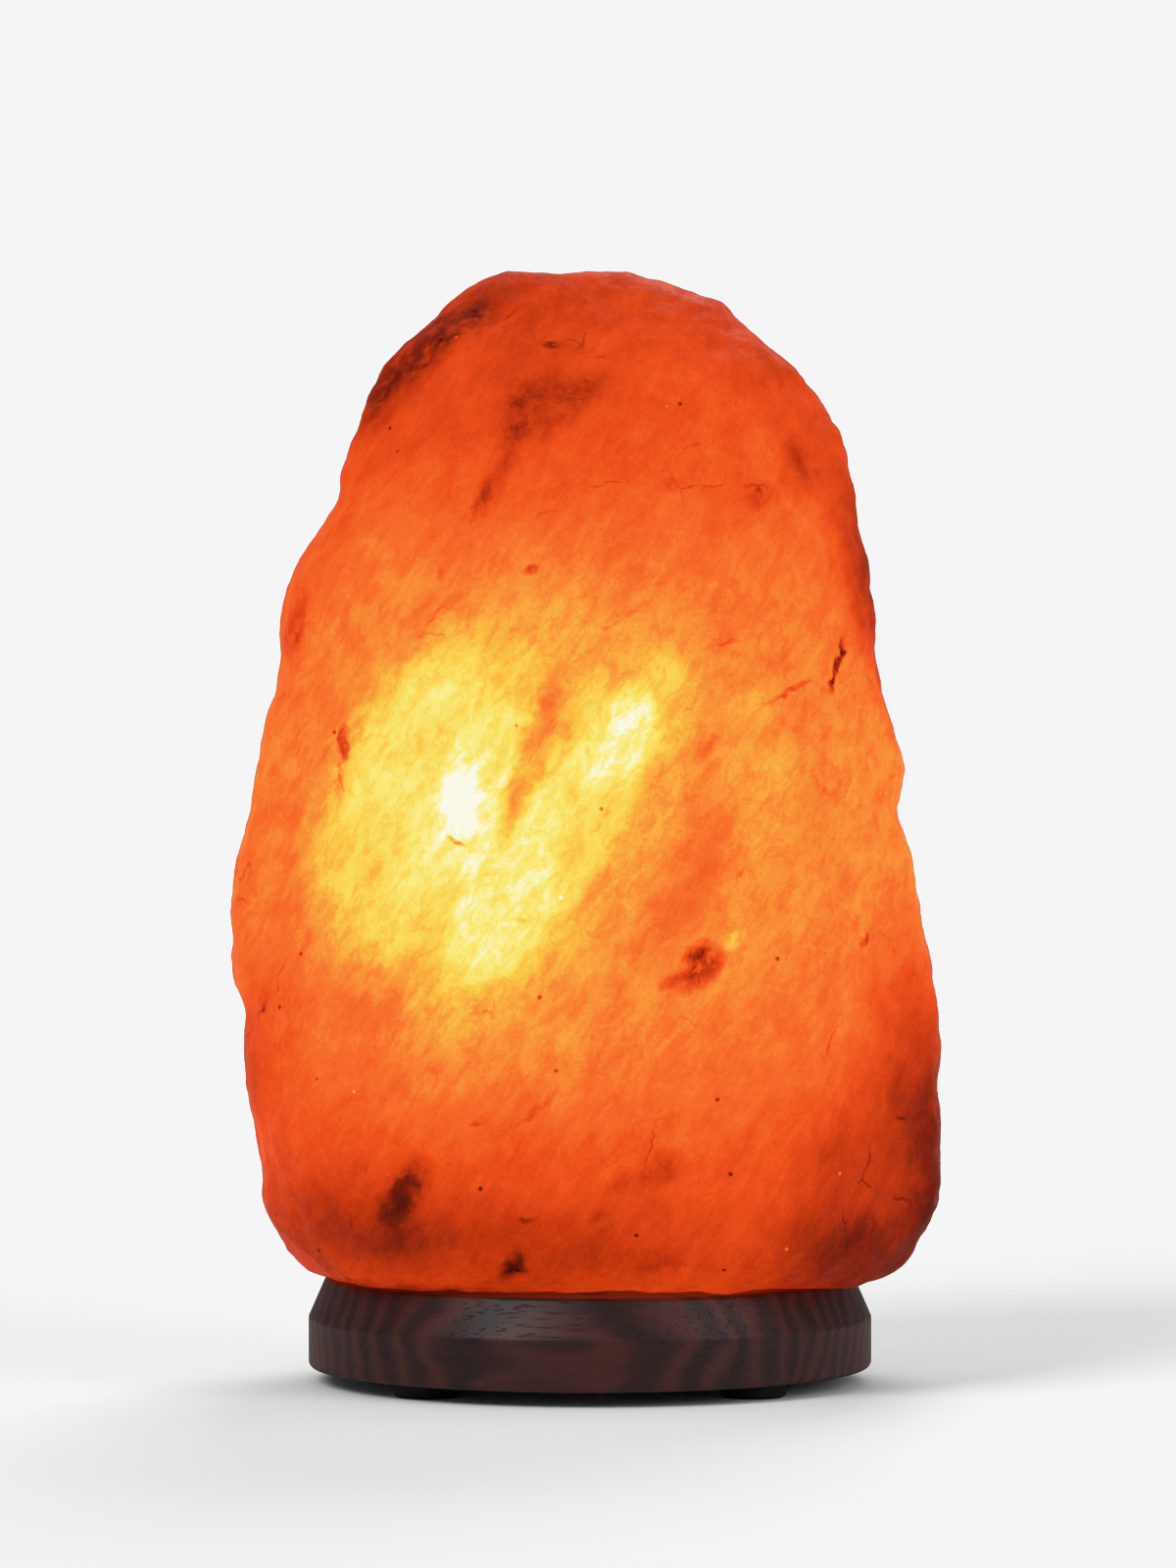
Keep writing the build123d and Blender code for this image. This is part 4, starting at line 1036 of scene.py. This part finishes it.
@dataclass(frozen=True)
class BlownGlass:
    """Thin clear glass with slight waviness."""

    name: str = "clear_glass"
    tint: Colour = (0.98, 0.99, 1.0)
    shade: Colour = (0.93, 0.95, 0.96)
    waves: Cloud = Cloud(0.012, 2.0, 0.5)
    wave_stretch: Triple = (1, 1, 0.3)
    haze: Mottle = Mottle(Cloud(0.004), Span(0.3, 0.7, 0.01, 0.05))
    refraction: float = 1.08
    relief_depth: float = 0.0002
    relief_strength: float = 0.3

    def make(self) -> bpy.types.Material:
        """Builds the material.

        Returns:
            The material.
        """
        shader = Shader(self.name)
        waves = shader.noise(self.waves, shader.mapped(scale=self.wave_stretch))
        colour = shader.ramp(waves, (0.3, self.tint), (0.7, self.shade))
        shader.paint(Base_Color=colour, Roughness=shader.mottle(self.haze))
        shader.constant(Transmission_Weight=1.0, IOR=self.refraction)
        shader.bump(waves, self.relief_depth, self.relief_strength)
        return shader.material


@dataclass(frozen=True)
class GlowingWire:
    """The hot filament, with its turns a little uneven in heat."""

    name: str = "tungsten"
    hot: Colour = (1.0, 0.78, 0.42)
    cool: Colour = (1.0, 0.52, 0.16)
    clouds: Cloud = Cloud(0.004, 2.0)
    emission: float = 14.0

    def make(self) -> bpy.types.Material:
        """Builds the material.

        Returns:
            The material.
        """
        shader = Shader(self.name)
        colour = shader.ramp(shader.noise(self.clouds), (0.3, self.cool), (0.6, self.hot))
        shader.paint(Base_Color=colour, Emission_Color=colour)
        shader.constant(Emission_Strength=self.emission, Roughness=0.5)
        return shader.material


# ---------------------------------------------------------------- salt block


@dataclass(frozen=True)
class Level:
    """One level of the hewn block, in millimetres: its height above the base, and its reach."""

    height: float
    left: float
    right: float
    front: float
    back: float


@dataclass(frozen=True)
class Chip:
    """A flat hewn facet: a point on it, in millimetres above the base, and its outward lean."""

    point: tuple[float, float, float]
    normal: tuple[float, float, float]


@dataclass(frozen=True)
class KnollRow:
    """Broad knobs, one step apart at one height; a negative rise is a hollow.

    The height and the rises are in millimetres, and the first turn is in degrees.
    """

    height: float
    first_turn: float
    rises: tuple[float, ...]


@dataclass(frozen=True)
class Wear:
    """One grain of weathering: the size of its lumps, and how deep they are."""

    name: str
    grain: float
    depth: float


@dataclass
class SaltBlock:
    """The hewn block, hollowed for the bulb and drilled for its screw plugs.

    Its corner round is a share of its half width, and its squareness is the power of the rounded
    plan: 2 is an ellipse, and more is squarer.
    """

    name: str = "hewn_salt_block"
    voxel: float = 0.0013
    cell: float = 0.009
    cells_across: int = 6
    cells_deep: int = 5
    corner_round: float = 0.70
    corner_segments: int = 7
    smooth_angle: float = 38.0
    foot_gap: float = 0.0001
    drill_overrun: float = 0.005
    cavity_radius: float = 0.025
    cavity_top: float = 0.1594
    cavity_round: float = 0.007
    cavity_sides: int = 96
    round_segments: int = 6
    plug_circle: float = 0.038
    plug_radius: float = 0.0036
    plug_depth: float = 0.022
    plug_sides: int = 24
    plug_angles: tuple[int, ...] = (0, 180, 270)
    wears: tuple[Wear, ...] = (
        Wear("lumps", 0.024, 0.0016),
        Wear("knobs", 0.011, 0.0017),
        Wear("pits", 0.0045, 0.0008),
    )
    wear_layers: int = 2
    worn_level: float = 0.60
    levels: tuple[Level, ...] = (
        Level(0.0, 49.5, 56.0, 45.0, 47.0),
        Level(2.0, 56.2, 60.5, 49.0, 50.0),
        Level(6.0, 59.8, 64.6, 52.0, 52.5),
        Level(11.0, 63.0, 67.3, 54.0, 54.0),
        Level(16.0, 64.5, 69.0, 55.0, 55.0),
        Level(21.0, 64.8, 69.7, 55.5, 55.5),
        Level(30.0, 66.4, 69.7, 56.5, 56.0),
        Level(39.0, 68.2, 69.0, 57.0, 56.5),
        Level(46.0, 68.6, 69.9, 57.2, 56.5),
        Level(53.0, 68.3, 69.0, 57.0, 56.0),
        Level(60.0, 70.8, 67.8, 57.0, 56.0),
        Level(68.0, 70.6, 66.0, 56.5, 56.0),
        Level(76.0, 71.3, 64.6, 55.8, 55.0),
        Level(84.0, 70.2, 64.2, 55.0, 54.5),
        Level(93.0, 67.6, 61.0, 53.5, 53.5),
        Level(101.0, 66.4, 62.6, 52.5, 52.0),
        Level(110.0, 64.4, 60.4, 51.0, 50.5),
        Level(117.0, 62.0, 58.0, 49.5, 49.5),
        Level(124.0, 61.4, 56.2, 48.5, 48.5),
        Level(130.0, 61.4, 56.6, 47.0, 47.0),
        Level(138.0, 59.8, 55.8, 45.5, 46.0),
        Level(143.0, 57.2, 55.4, 44.0, 44.5),
        Level(149.0, 53.2, 53.6, 42.5, 43.0),
        Level(154.0, 50.1, 53.0, 41.0, 42.0),
        Level(161.0, 49.2, 51.4, 38.5, 39.5),
        Level(168.0, 46.6, 50.0, 35.5, 36.5),
        Level(175.0, 44.4, 45.8, 31.5, 33.0),
        Level(181.0, 41.0, 40.8, 27.5, 29.0),
        Level(186.0, 36.6, 34.6, 23.5, 25.0),
        Level(190.0, 30.6, 30.0, 20.0, 21.5),
        Level(193.5, 27.2, 26.4, 16.5, 18.5),
        Level(197.0, 22.6, 16.0, 13.0, 15.0),
        Level(199.6, 17.0, 7.0, 9.0, 10.0),
    )
    squareness: float = 3.0
    knoll_step: float = 22.5
    knoll_spread: float = 0.024
    knoll_rows: tuple[KnollRow, ...] = (
        KnollRow(26.0, 225.0, (1.5, -1.7, 1.9, -1.4, 1.6)),
        KnollRow(48.0, 225.0, (-1.3, 1.8, -1.6, 1.7, -1.5)),
        KnollRow(66.0, 225.0, (1.6, -1.4, 1.5, -1.8, 1.4)),
        KnollRow(84.0, 225.0, (-1.7, 1.6, -1.8, 1.5, -1.3)),
        KnollRow(101.0, 225.0, (1.4, -1.8, 1.7, -1.5, 1.8)),
        KnollRow(119.0, 225.0, (-1.5, 1.5, -1.6, 1.8, -1.6)),
        KnollRow(136.0, 225.0, (1.7, -1.6, 1.4, -1.7, 1.5)),
        KnollRow(160.0, 247.5, (1.3, -1.5, 1.4)),
        KnollRow(26.0, 45.0, (-1.6, 1.5, -1.8, 1.7, -1.4)),
        KnollRow(48.0, 45.0, (1.8, -1.5, 1.6, -1.4, 1.7)),
        KnollRow(66.0, 45.0, (-1.4, 1.7, -1.5, 1.8, -1.6)),
        KnollRow(84.0, 45.0, (1.5, -1.6, 1.8, -1.7, 1.4)),
        KnollRow(101.0, 45.0, (-1.8, 1.4, -1.7, 1.6, -1.5)),
        KnollRow(119.0, 45.0, (1.6, -1.7, 1.5, -1.5, 1.8)),
        KnollRow(136.0, 45.0, (-1.5, 1.8, -1.4, 1.6, -1.7)),
        KnollRow(160.0, 67.5, (-1.4, 1.6, -1.3)),
    )
    chips: tuple[Chip, ...] = (
        Chip((49.0, -38.5, 100.0), (0.86, -0.66, 0.14)),
        Chip((54.5, -41.0, 42.0), (0.80, -0.78, -0.04)),
        Chip((-50.0, -39.5, 108.0), (-0.80, -0.72, 0.16)),
        Chip((-31.0, -25.5, 174.0), (-0.60, -0.62, 0.50)),
        Chip((32.5, -25.5, 174.0), (0.62, -0.62, 0.44)),
        Chip((48.0, 42.0, 90.0), (0.76, 0.74, 0.16)),
        Chip((-50.0, 42.0, 70.0), (-0.72, 0.78, 0.04)),
        Chip((-30.0, 36.0, 158.0), (-0.50, 0.76, 0.42)),
        Chip((18.0, 38.0, 164.0), (0.30, 0.80, 0.50)),
        Chip((0.0, 53.0, 92.0), (0.10, 0.98, 0.16)),
    )
    piece: bpy.types.Object | None = field(default=None, repr=False)

    @property
    def foot(self) -> float:
        """The height at which the block stands on its base."""
        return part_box("salt_crystal")[0].z

    def build(self) -> bpy.types.Object:
        """Models the block from its foot up, then hews, weathers and hollows it.

        Returns:
            The finished block.
        """
        self._raise_block()
        self._divide_flanks()
        self._press_knolls()
        self._hew()
        apply_modifier(self.piece, "REMESH", mode="VOXEL", voxel_size=self.voxel)
        apply_modifier(self.piece, "SMOOTH", factor=0.5, iterations=3)
        self._weather()
        self._saw_foot()
        self._hollow()
        choose_only(self.piece)
        bpy.ops.object.shade_smooth_by_angle(angle=math.radians(self.smooth_angle))
        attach(self.piece, "lamp")
        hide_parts("salt_crystal")
        return self.piece

    def dress(self, material: bpy.types.Material) -> None:
        """Gives the block its finish.

        Args:
            material: The rock salt.
        """
        self.piece.data.materials.clear()
        self.piece.data.materials.append(material)

    def _raise_block(self) -> None:
        """Extrudes a rounded block upwards, one level at a time."""
        lowest = self.levels[0]
        clear_selection()
        bpy.ops.mesh.primitive_cube_add(size=2, location=(0, 0, 0))
        self.piece = start_piece(self.name)
        bpy.ops.object.mode_set(mode="EDIT")
        bpy.ops.mesh.select_all(action="DESELECT")
        self._select_edges(lambda first, second: first.z * second.z < 0)
        bpy.ops.mesh.bevel(
            offset=self.corner_round, segments=self.corner_segments, affect="EDGES"
        )
        bpy.ops.mesh.select_all(action="SELECT")
        half_x, half_y, middle_x, middle_y = self._halves(lowest)
        rise = (self.levels[1].height - lowest.height) * MILLIMETRE
        bpy.ops.transform.resize(
            value=(half_x, half_y, rise / 2), center_override=(0, 0, 0)
        )
        bpy.ops.transform.translate(value=(middle_x, middle_y, self.foot + rise / 2))
        self._select_top()
        self._shape_top(lowest, self.levels[1])
        for below, level in zip(self.levels[1:], self.levels[2:]):
            step = (level.height - below.height) * MILLIMETRE
            bpy.ops.mesh.extrude_region_move(TRANSFORM_OT_translate={"value": (0, 0, step)})
            self._shape_top(below, level)
        bpy.ops.object.mode_set(mode="OBJECT")

    @staticmethod
    def _halves(level: Level) -> tuple[float, float, float, float]:
        """A level's half width and depth, and its middle, in metres.

        Args:
            level: The level.

        Returns:
            Half width, half depth, middle X and middle Y.
        """
        return (
            (level.left + level.right) / 2 * MILLIMETRE,
            (level.front + level.back) / 2 * MILLIMETRE,
            (level.right - level.left) / 2 * MILLIMETRE,
            (level.back - level.front) / 2 * MILLIMETRE,
        )

    def _shape_top(self, below: Level, level: Level) -> None:
        """Widens, narrows and shifts the selected top face from one level's plan to the next.

        Args:
            below: The level whose plan the face still has.
            level: The level that it belongs to.
        """
        was_x, was_y, was_middle_x, was_middle_y = self._halves(below)
        half_x, half_y, middle_x, middle_y = self._halves(level)
        bpy.ops.transform.resize(
            value=(half_x / was_x, half_y / was_y, 1),
            center_override=(was_middle_x, was_middle_y, 0),
        )
        bpy.ops.transform.translate(
            value=(middle_x - was_middle_x, middle_y - was_middle_y, 0)
        )

    def _select_edges(self, wanted: Callable[[Vector, Vector], bool]) -> None:
        """Selects the edges whose two ends pass a test, in edit mode.

        Args:
            wanted: Takes both ends' places and says whether the edge is wanted.
        """
        bpy.ops.mesh.select_mode(type="EDGE")
        bpy.ops.object.mode_set(mode="OBJECT")
        mesh = self.piece.data
        for edge in mesh.edges:
            first, second = (mesh.vertices[index].co for index in edge.vertices)
            edge.select = wanted(first, second)
        bpy.ops.object.mode_set(mode="EDIT")

    def _select_top(self) -> None:
        """Selects the highest flat face, in edit mode."""
        bpy.ops.mesh.select_mode(type="FACE")
        bpy.ops.mesh.select_all(action="DESELECT")
        bpy.ops.object.mode_set(mode="OBJECT")
        top = max(self.piece.data.polygons, key=lambda face: face.center.z)
        top.select = True
        bpy.ops.object.mode_set(mode="EDIT")

    def _divide_flanks(self) -> None:
        """Cuts the flanks into cells small enough to be pressed in and out."""
        choose_only(self.piece)
        bpy.ops.object.mode_set(mode="EDIT")
        for normal, count in (((1, 0, 0), self.cells_across), ((0, 1, 0), self.cells_deep)):
            for index in range(-count, count + 1):
                bpy.ops.mesh.select_all(action="SELECT")
                place = Vector(normal) * index * self.cell
                bpy.ops.mesh.bisect(plane_co=place, plane_no=normal)
        bpy.ops.object.mode_set(mode="OBJECT")

    def _press_knolls(self) -> None:
        """Draws each knob out of the flank, and presses each hollow into it."""
        choose_only(self.piece)
        bpy.ops.object.mode_set(mode="EDIT")
        bpy.ops.mesh.select_mode(type="VERT")
        for row in self.knoll_rows:
            for step, rise in enumerate(row.rises):
                turn = row.first_turn + step * self.knoll_step
                way = Vector((math.cos(math.radians(turn)), math.sin(math.radians(turn)), 0))
                self._select_nearest(self._flank_point(row.height, turn))
                bpy.ops.transform.translate(
                    value=way * rise * MILLIMETRE,
                    use_proportional_edit=True,
                    proportional_edit_falloff="SMOOTH",
                    proportional_size=self.knoll_spread,
                )
        bpy.ops.object.mode_set(mode="OBJECT")

    def _flank_point(self, height: float, turn: float) -> Vector:
        """A point on the plain flank.

        Args:
            height: Its height above the base, in millimetres.
            turn: How far round it lies, in degrees from +X towards +Y.

        Returns:
            The point, in metres.
        """
        below, above = next(
            pair for pair in zip(self.levels, self.levels[1:]) if pair[1].height >= height
        )
        share = (height - below.height) / (above.height - below.height)
        low, high = self._halves(below), self._halves(above)
        half_x, half_y, middle_x, middle_y = (
            first + share * (second - first) for first, second in zip(low, high)
        )
        along, across = math.cos(math.radians(turn)), math.sin(math.radians(turn))
        reach = (abs(along) ** self.squareness + abs(across) ** self.squareness) ** (
            -1 / self.squareness
        )
        return Vector(
            (
                middle_x + half_x * along * reach,
                middle_y + half_y * across * reach,
                self.foot + height * MILLIMETRE,
            )
        )

    def _select_nearest(self, point: Vector) -> None:
        """Selects only the vertex nearest to a point, in edit mode.

        Args:
            point: The point.
        """
        bpy.ops.mesh.select_all(action="DESELECT")
        bpy.ops.object.mode_set(mode="OBJECT")
        nearest = min(self.piece.data.vertices, key=lambda vertex: (vertex.co - point).length)
        nearest.select = True
        bpy.ops.object.mode_set(mode="EDIT")

    def _hew(self) -> None:
        """Strikes each chip off with a flat cut."""
        for chip in self.chips:
            choose_only(self.piece)
            bpy.ops.object.mode_set(mode="EDIT")
            bpy.ops.mesh.select_all(action="SELECT")
            point = Vector(chip.point) * MILLIMETRE + Vector((0, 0, self.foot))
            bpy.ops.mesh.bisect(
                plane_co=point, plane_no=chip.normal, use_fill=True, clear_outer=True
            )
            bpy.ops.object.mode_set(mode="OBJECT")

    def _weather(self) -> None:
        """Presses lumps, hollows and small pits into the surface."""
        for wear in self.wears:
            texture = bpy.data.textures.new(wear.name, "CLOUDS")
            texture.noise_scale = wear.grain
            texture.noise_depth = self.wear_layers
            apply_modifier(
                self.piece,
                "DISPLACE",
                texture=texture,
                texture_coords="LOCAL",
                strength=wear.depth,
                mid_level=self.worn_level,
            )

    def _saw_foot(self) -> None:
        """Saws the block flat where it stands on the base."""
        choose_only(self.piece)
        bpy.ops.object.mode_set(mode="EDIT")
        bpy.ops.mesh.select_all(action="SELECT")
        bpy.ops.mesh.bisect(
            plane_co=(0, 0, self.foot + self.foot_gap),
            plane_no=(0, 0, -1),
            use_fill=True,
            clear_outer=True,
        )
        bpy.ops.object.mode_set(mode="OBJECT")

    def _hollow(self) -> None:
        """Drills the cavity and the holes for the screw plugs."""
        sides = self.cavity_sides
        cutters = [self._drill("cavity", self.cavity_radius, self.cavity_top, 0, 0, sides)]
        for angle in self.plug_angles:
            turn = math.radians(angle)
            x, y = self.plug_circle * math.cos(turn), self.plug_circle * math.sin(turn)
            top = self.foot + self.plug_depth
            cutters.append(
                self._drill("plug_hole", self.plug_radius, top, x, y, self.plug_sides)
            )
        for cutter in cutters:
            apply_modifier(
                self.piece, "BOOLEAN", object=cutter, operation="DIFFERENCE", solver="EXACT"
            )
            bpy.data.objects.remove(cutter)

    def _drill(
        self, name: str, radius: float, top: float, x: float, y: float, sides: int
    ) -> bpy.types.Object:
        """Makes a round cutter that reaches from under the foot to a rounded top.

        Args:
            name: The cutter's name.
            radius: Its radius.
            top: How high it reaches.
            x: Where it stands.
            y: Where it stands.
            sides: How many flats make it round.

        Returns:
            The cutter.
        """
        bottom = self.foot - self.drill_overrun
        clear_selection()
        bpy.ops.mesh.primitive_cylinder_add(
            vertices=sides,
            radius=radius,
            depth=top - bottom,
            location=(x, y, (top + bottom) / 2),
        )
        cutter = start_piece(name)
        bpy.ops.object.transform_apply(location=True, rotation=True, scale=True)
        bpy.ops.object.mode_set(mode="EDIT")
        bpy.ops.mesh.select_mode(type="EDGE")
        bpy.ops.mesh.select_all(action="DESELECT")
        bpy.ops.object.mode_set(mode="OBJECT")
        mesh = cutter.data
        middle = (top + bottom) / 2
        for edge in mesh.edges:
            edge.select = all(mesh.vertices[end].co.z > middle for end in edge.vertices)
        bpy.ops.object.mode_set(mode="EDIT")
        rounding = min(self.cavity_round, radius / 2)
        bpy.ops.mesh.bevel(offset=rounding, segments=self.round_segments, affect="EDGES")
        bpy.ops.object.mode_set(mode="OBJECT")
        return cutter


# ---------------------------------------------------------------- wooden base, holder, bulb


@dataclass
class DressedNodes:
    """CAD pieces that keep their shape and take a finish, node by node."""

    finishes: dict[str, tuple[str, ...]] = field(
        default_factory=lambda: {
            "dark_wood": ("wooden_base",),
            "black_rubber": ("rubber_feet",),
            "zinc_steel": (
                "foot_screws",
                "crystal_screws",
                "holder_plate",
                "nipple_nut",
                "nipple_washer",
                "terminal_screws",
                "clip_brackets",
                "clip_pins",
                "clip_rivets",
            ),
            "threaded_zinc": ("cord_nipple",),
            "spring_steel": ("clip_springs", "clip_arm_left", "clip_arm_right"),
            "brass": ("terminal_clamps", "centre_contact", "contact_rivets", "screw_shell"),
            "nickelled_brass": ("bulb_cap", "bulb_tip"),
            "white_nylon": ("screw_plugs",),
            "black_plastic": ("holder_cap", "holder_sleeve"),
            "white_ceramic": ("terminal_block",),
            "black_glass_bead": ("bulb_insulator",),
            "clear_glass": ("bulb_glass", "bulb_stem"),
            "tungsten": ("filament",),
            "nickel_wire": ("lead_wires", "support_wire"),
        }
    )

    def dress(self, materials: dict[str, bpy.types.Material]) -> None:
        """Puts each finish on its pieces.

        Args:
            materials: The materials by name.
        """
        for finish, names in self.finishes.items():
            for name in names:
                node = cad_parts[name]
                node.data.materials.clear()
                node.data.materials.append(materials[finish])
                log.info("%s: %s", name, finish)


def make_materials() -> dict[str, bpy.types.Material]:
    """Builds every finish once.

    Returns:
        The materials by name.
    """
    finishes = (
        StainedWood(),
        Moulding("black_rubber", linear(38, 38, 40), linear(20, 20, 21), 0.75, 0.0009, 0.00008),
        Metal("zinc_steel", linear(205, 207, 208), linear(150, 153, 158), 0.32),
        Metal(
            "threaded_zinc",
            linear(200, 202, 204),
            linear(140, 143, 148),
            0.34,
            thread_pitch=0.001,
        ),
        Metal("spring_steel", linear(188, 192, 200), linear(120, 125, 135), 0.24),
        Metal("brass", linear(224, 178, 92), linear(168, 118, 50), 0.26),
        Metal("nickelled_brass", linear(214, 206, 188), linear(158, 148, 128), 0.28),
        Metal("nickel_wire", linear(190, 184, 176), linear(128, 122, 116), 0.35),
        Moulding("white_nylon", linear(232, 230, 222), linear(212, 208, 198), 0.55),
        Moulding("black_plastic", linear(34, 33, 33), linear(21, 20, 21), 0.42, 0.0008, 0.00005),
        Moulding(
            "white_ceramic", linear(236, 232, 222), linear(214, 207, 193), 0.62, 0.0012, 0.00006
        ),
        Moulding("black_glass_bead", linear(30, 30, 36), linear(14, 14, 17), 0.18, 0.002, 0.00002),
        BlownGlass(),
        GlowingWire(),
        RockSalt(),
    )
    return {finish.name: finish.make() for finish in finishes}


# ---------------------------------------------------------------- studio


@dataclass(frozen=True)
class Softbox:
    """A square area light: its place, the length of its side and its power in watts."""

    name: str
    place: Triple
    size: float
    power: float


@dataclass
class Studio:
    """The pale floor, the soft light and the camera at the photograph's angle.

    The elevation is in degrees and the sensor in millimetres. A pixel is one of the photograph's.
    """

    pixel_size: float = 0.0001951
    image_height: int = 1600
    middle_pixel_x: float = 600.0
    axis_pixel_x: float = 602.0
    middle_pixel_y: float = 800.0
    foot_pixel_y: float = 1302.0
    distance: float = 1.6
    elevation: float = 1.5
    sensor: float = 36.0
    near_clip: float = 0.05
    background: Colour = linear(245, 245, 245)
    ambient: float = 0.55
    floor_reach: float = 3.0
    floor_dark: Colour = linear(243, 243, 243)
    floor_light: Colour = linear(247, 247, 247)
    floor_clouds: Cloud = Cloud(0.4, 2.0)
    aim: Triple = (0, 0, 0.1)
    softboxes: tuple[Softbox, ...] = (
        Softbox("key_light", (-0.9, -1.1, 1.3), 0.9, 9.0),
        Softbox("fill_light", (1.2, -0.8, 0.8), 1.0, 4.0),
        Softbox("rim_light", (0.3, 1.2, 1.2), 0.8, 5.0),
    )

    def build(self) -> None:
        """Makes the world, the floor, the lights and the camera."""
        bpy.context.scene.view_settings.view_transform = "Standard"
        self._world()
        self._floor()
        for softbox in self.softboxes:
            self._hang(softbox)
        self._camera()

    def _world(self) -> None:
        """A pale backdrop that the camera sees, and a dimmer one that lights the scene."""
        world = bpy.data.worlds.new("pale_studio")
        bpy.context.scene.world = world
        world.use_nodes = True
        tree = world.node_tree
        tree.nodes.clear()
        output = tree.nodes.new("ShaderNodeOutputWorld")
        mix = tree.nodes.new("ShaderNodeMixShader")
        path = tree.nodes.new("ShaderNodeLightPath")
        seen = tree.nodes.new("ShaderNodeBackground")
        seen.inputs["Color"].default_value = (*self.background, 1)
        lighting = tree.nodes.new("ShaderNodeBackground")
        lighting.inputs["Color"].default_value = (1, 1, 1, 1)
        lighting.inputs["Strength"].default_value = self.ambient
        tree.links.new(path.outputs["Is Camera Ray"], mix.inputs[0])
        tree.links.new(lighting.outputs[0], mix.inputs[1])
        tree.links.new(seen.outputs[0], mix.inputs[2])
        tree.links.new(mix.outputs[0], output.inputs["Surface"])

    def _floor(self) -> None:
        """A plain floor and wall that show only the lamp's soft shadow on the pale backdrop."""
        clear_selection()
        bpy.ops.mesh.primitive_plane_add(size=2 * self.floor_reach, location=(0, 0, 0))
        floor = start_piece("floor")
        for edge in floor.data.edges:
            ends = (floor.data.vertices[index].co for index in edge.vertices)
            edge.select = all(end.y > 0 for end in ends)
        for face in floor.data.polygons:
            face.select = False
        bpy.ops.object.mode_set(mode="EDIT")
        bpy.ops.mesh.select_mode(type="EDGE")
        bpy.ops.mesh.extrude_region_move(
            TRANSFORM_OT_translate={"value": (0, 0, self.floor_reach)}
        )
        bpy.ops.object.mode_set(mode="OBJECT")
        floor.is_shadow_catcher = True
        shader = Shader("pale_floor")
        clouds = shader.noise(self.floor_clouds)
        tone = shader.ramp(clouds, (0.3, self.floor_dark), (0.7, self.floor_light))
        shader.paint(Base_Color=tone)
        shader.constant(Roughness=0.8)
        floor.data.materials.append(shader.material)

    def _hang(self, softbox: Softbox) -> None:
        """Hangs a light and turns it to the lamp.

        Args:
            softbox: The light.
        """
        data = bpy.data.lights.new(softbox.name, "AREA")
        data.size = softbox.size
        data.energy = softbox.power
        light = bpy.data.objects.new(softbox.name, data)
        bpy.context.scene.collection.objects.link(light)
        light.location = softbox.place
        way = Vector(self.aim) - Vector(softbox.place)
        light.rotation_euler = way.to_track_quat("-Z", "Y").to_euler()

    def _camera(self) -> None:
        """A long lens far in front of the lamp, framed as in the photograph."""
        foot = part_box("salt_crystal")[0].z
        target = Vector(
            (
                (self.middle_pixel_x - self.axis_pixel_x) * self.pixel_size,
                0,
                foot + (self.foot_pixel_y - self.middle_pixel_y) * self.pixel_size,
            )
        )
        data = bpy.data.cameras.new("photo_camera")
        data.sensor_fit = "VERTICAL"
        data.sensor_height = self.sensor
        data.sensor_width = self.sensor
        data.lens = self.sensor * self.distance / (self.image_height * self.pixel_size)
        data.clip_start = self.near_clip
        camera = bpy.data.objects.new("photo_camera", data)
        bpy.context.scene.collection.objects.link(camera)
        turn = math.radians(self.elevation)
        camera.location = target + self.distance * Vector((0, -math.cos(turn), math.sin(turn)))
        camera.rotation_euler = (math.pi / 2 - turn, 0, 0)
        bpy.context.scene.camera = camera


def main() -> None:
    """Builds the studio, the block and every finish, and reports each piece."""
    logging.basicConfig(level=logging.INFO, format="%(name)s: %(message)s")
    Studio().build()
    materials = make_materials()
    log.info("finishes: %d", len(materials))
    block = SaltBlock()
    block.build()
    block.dress(materials[RockSalt.name])
    log.info("%s: %d faces", block.name, len(block.piece.data.polygons))
    DressedNodes().dress(materials)


if __name__ == "__main__":
    main()
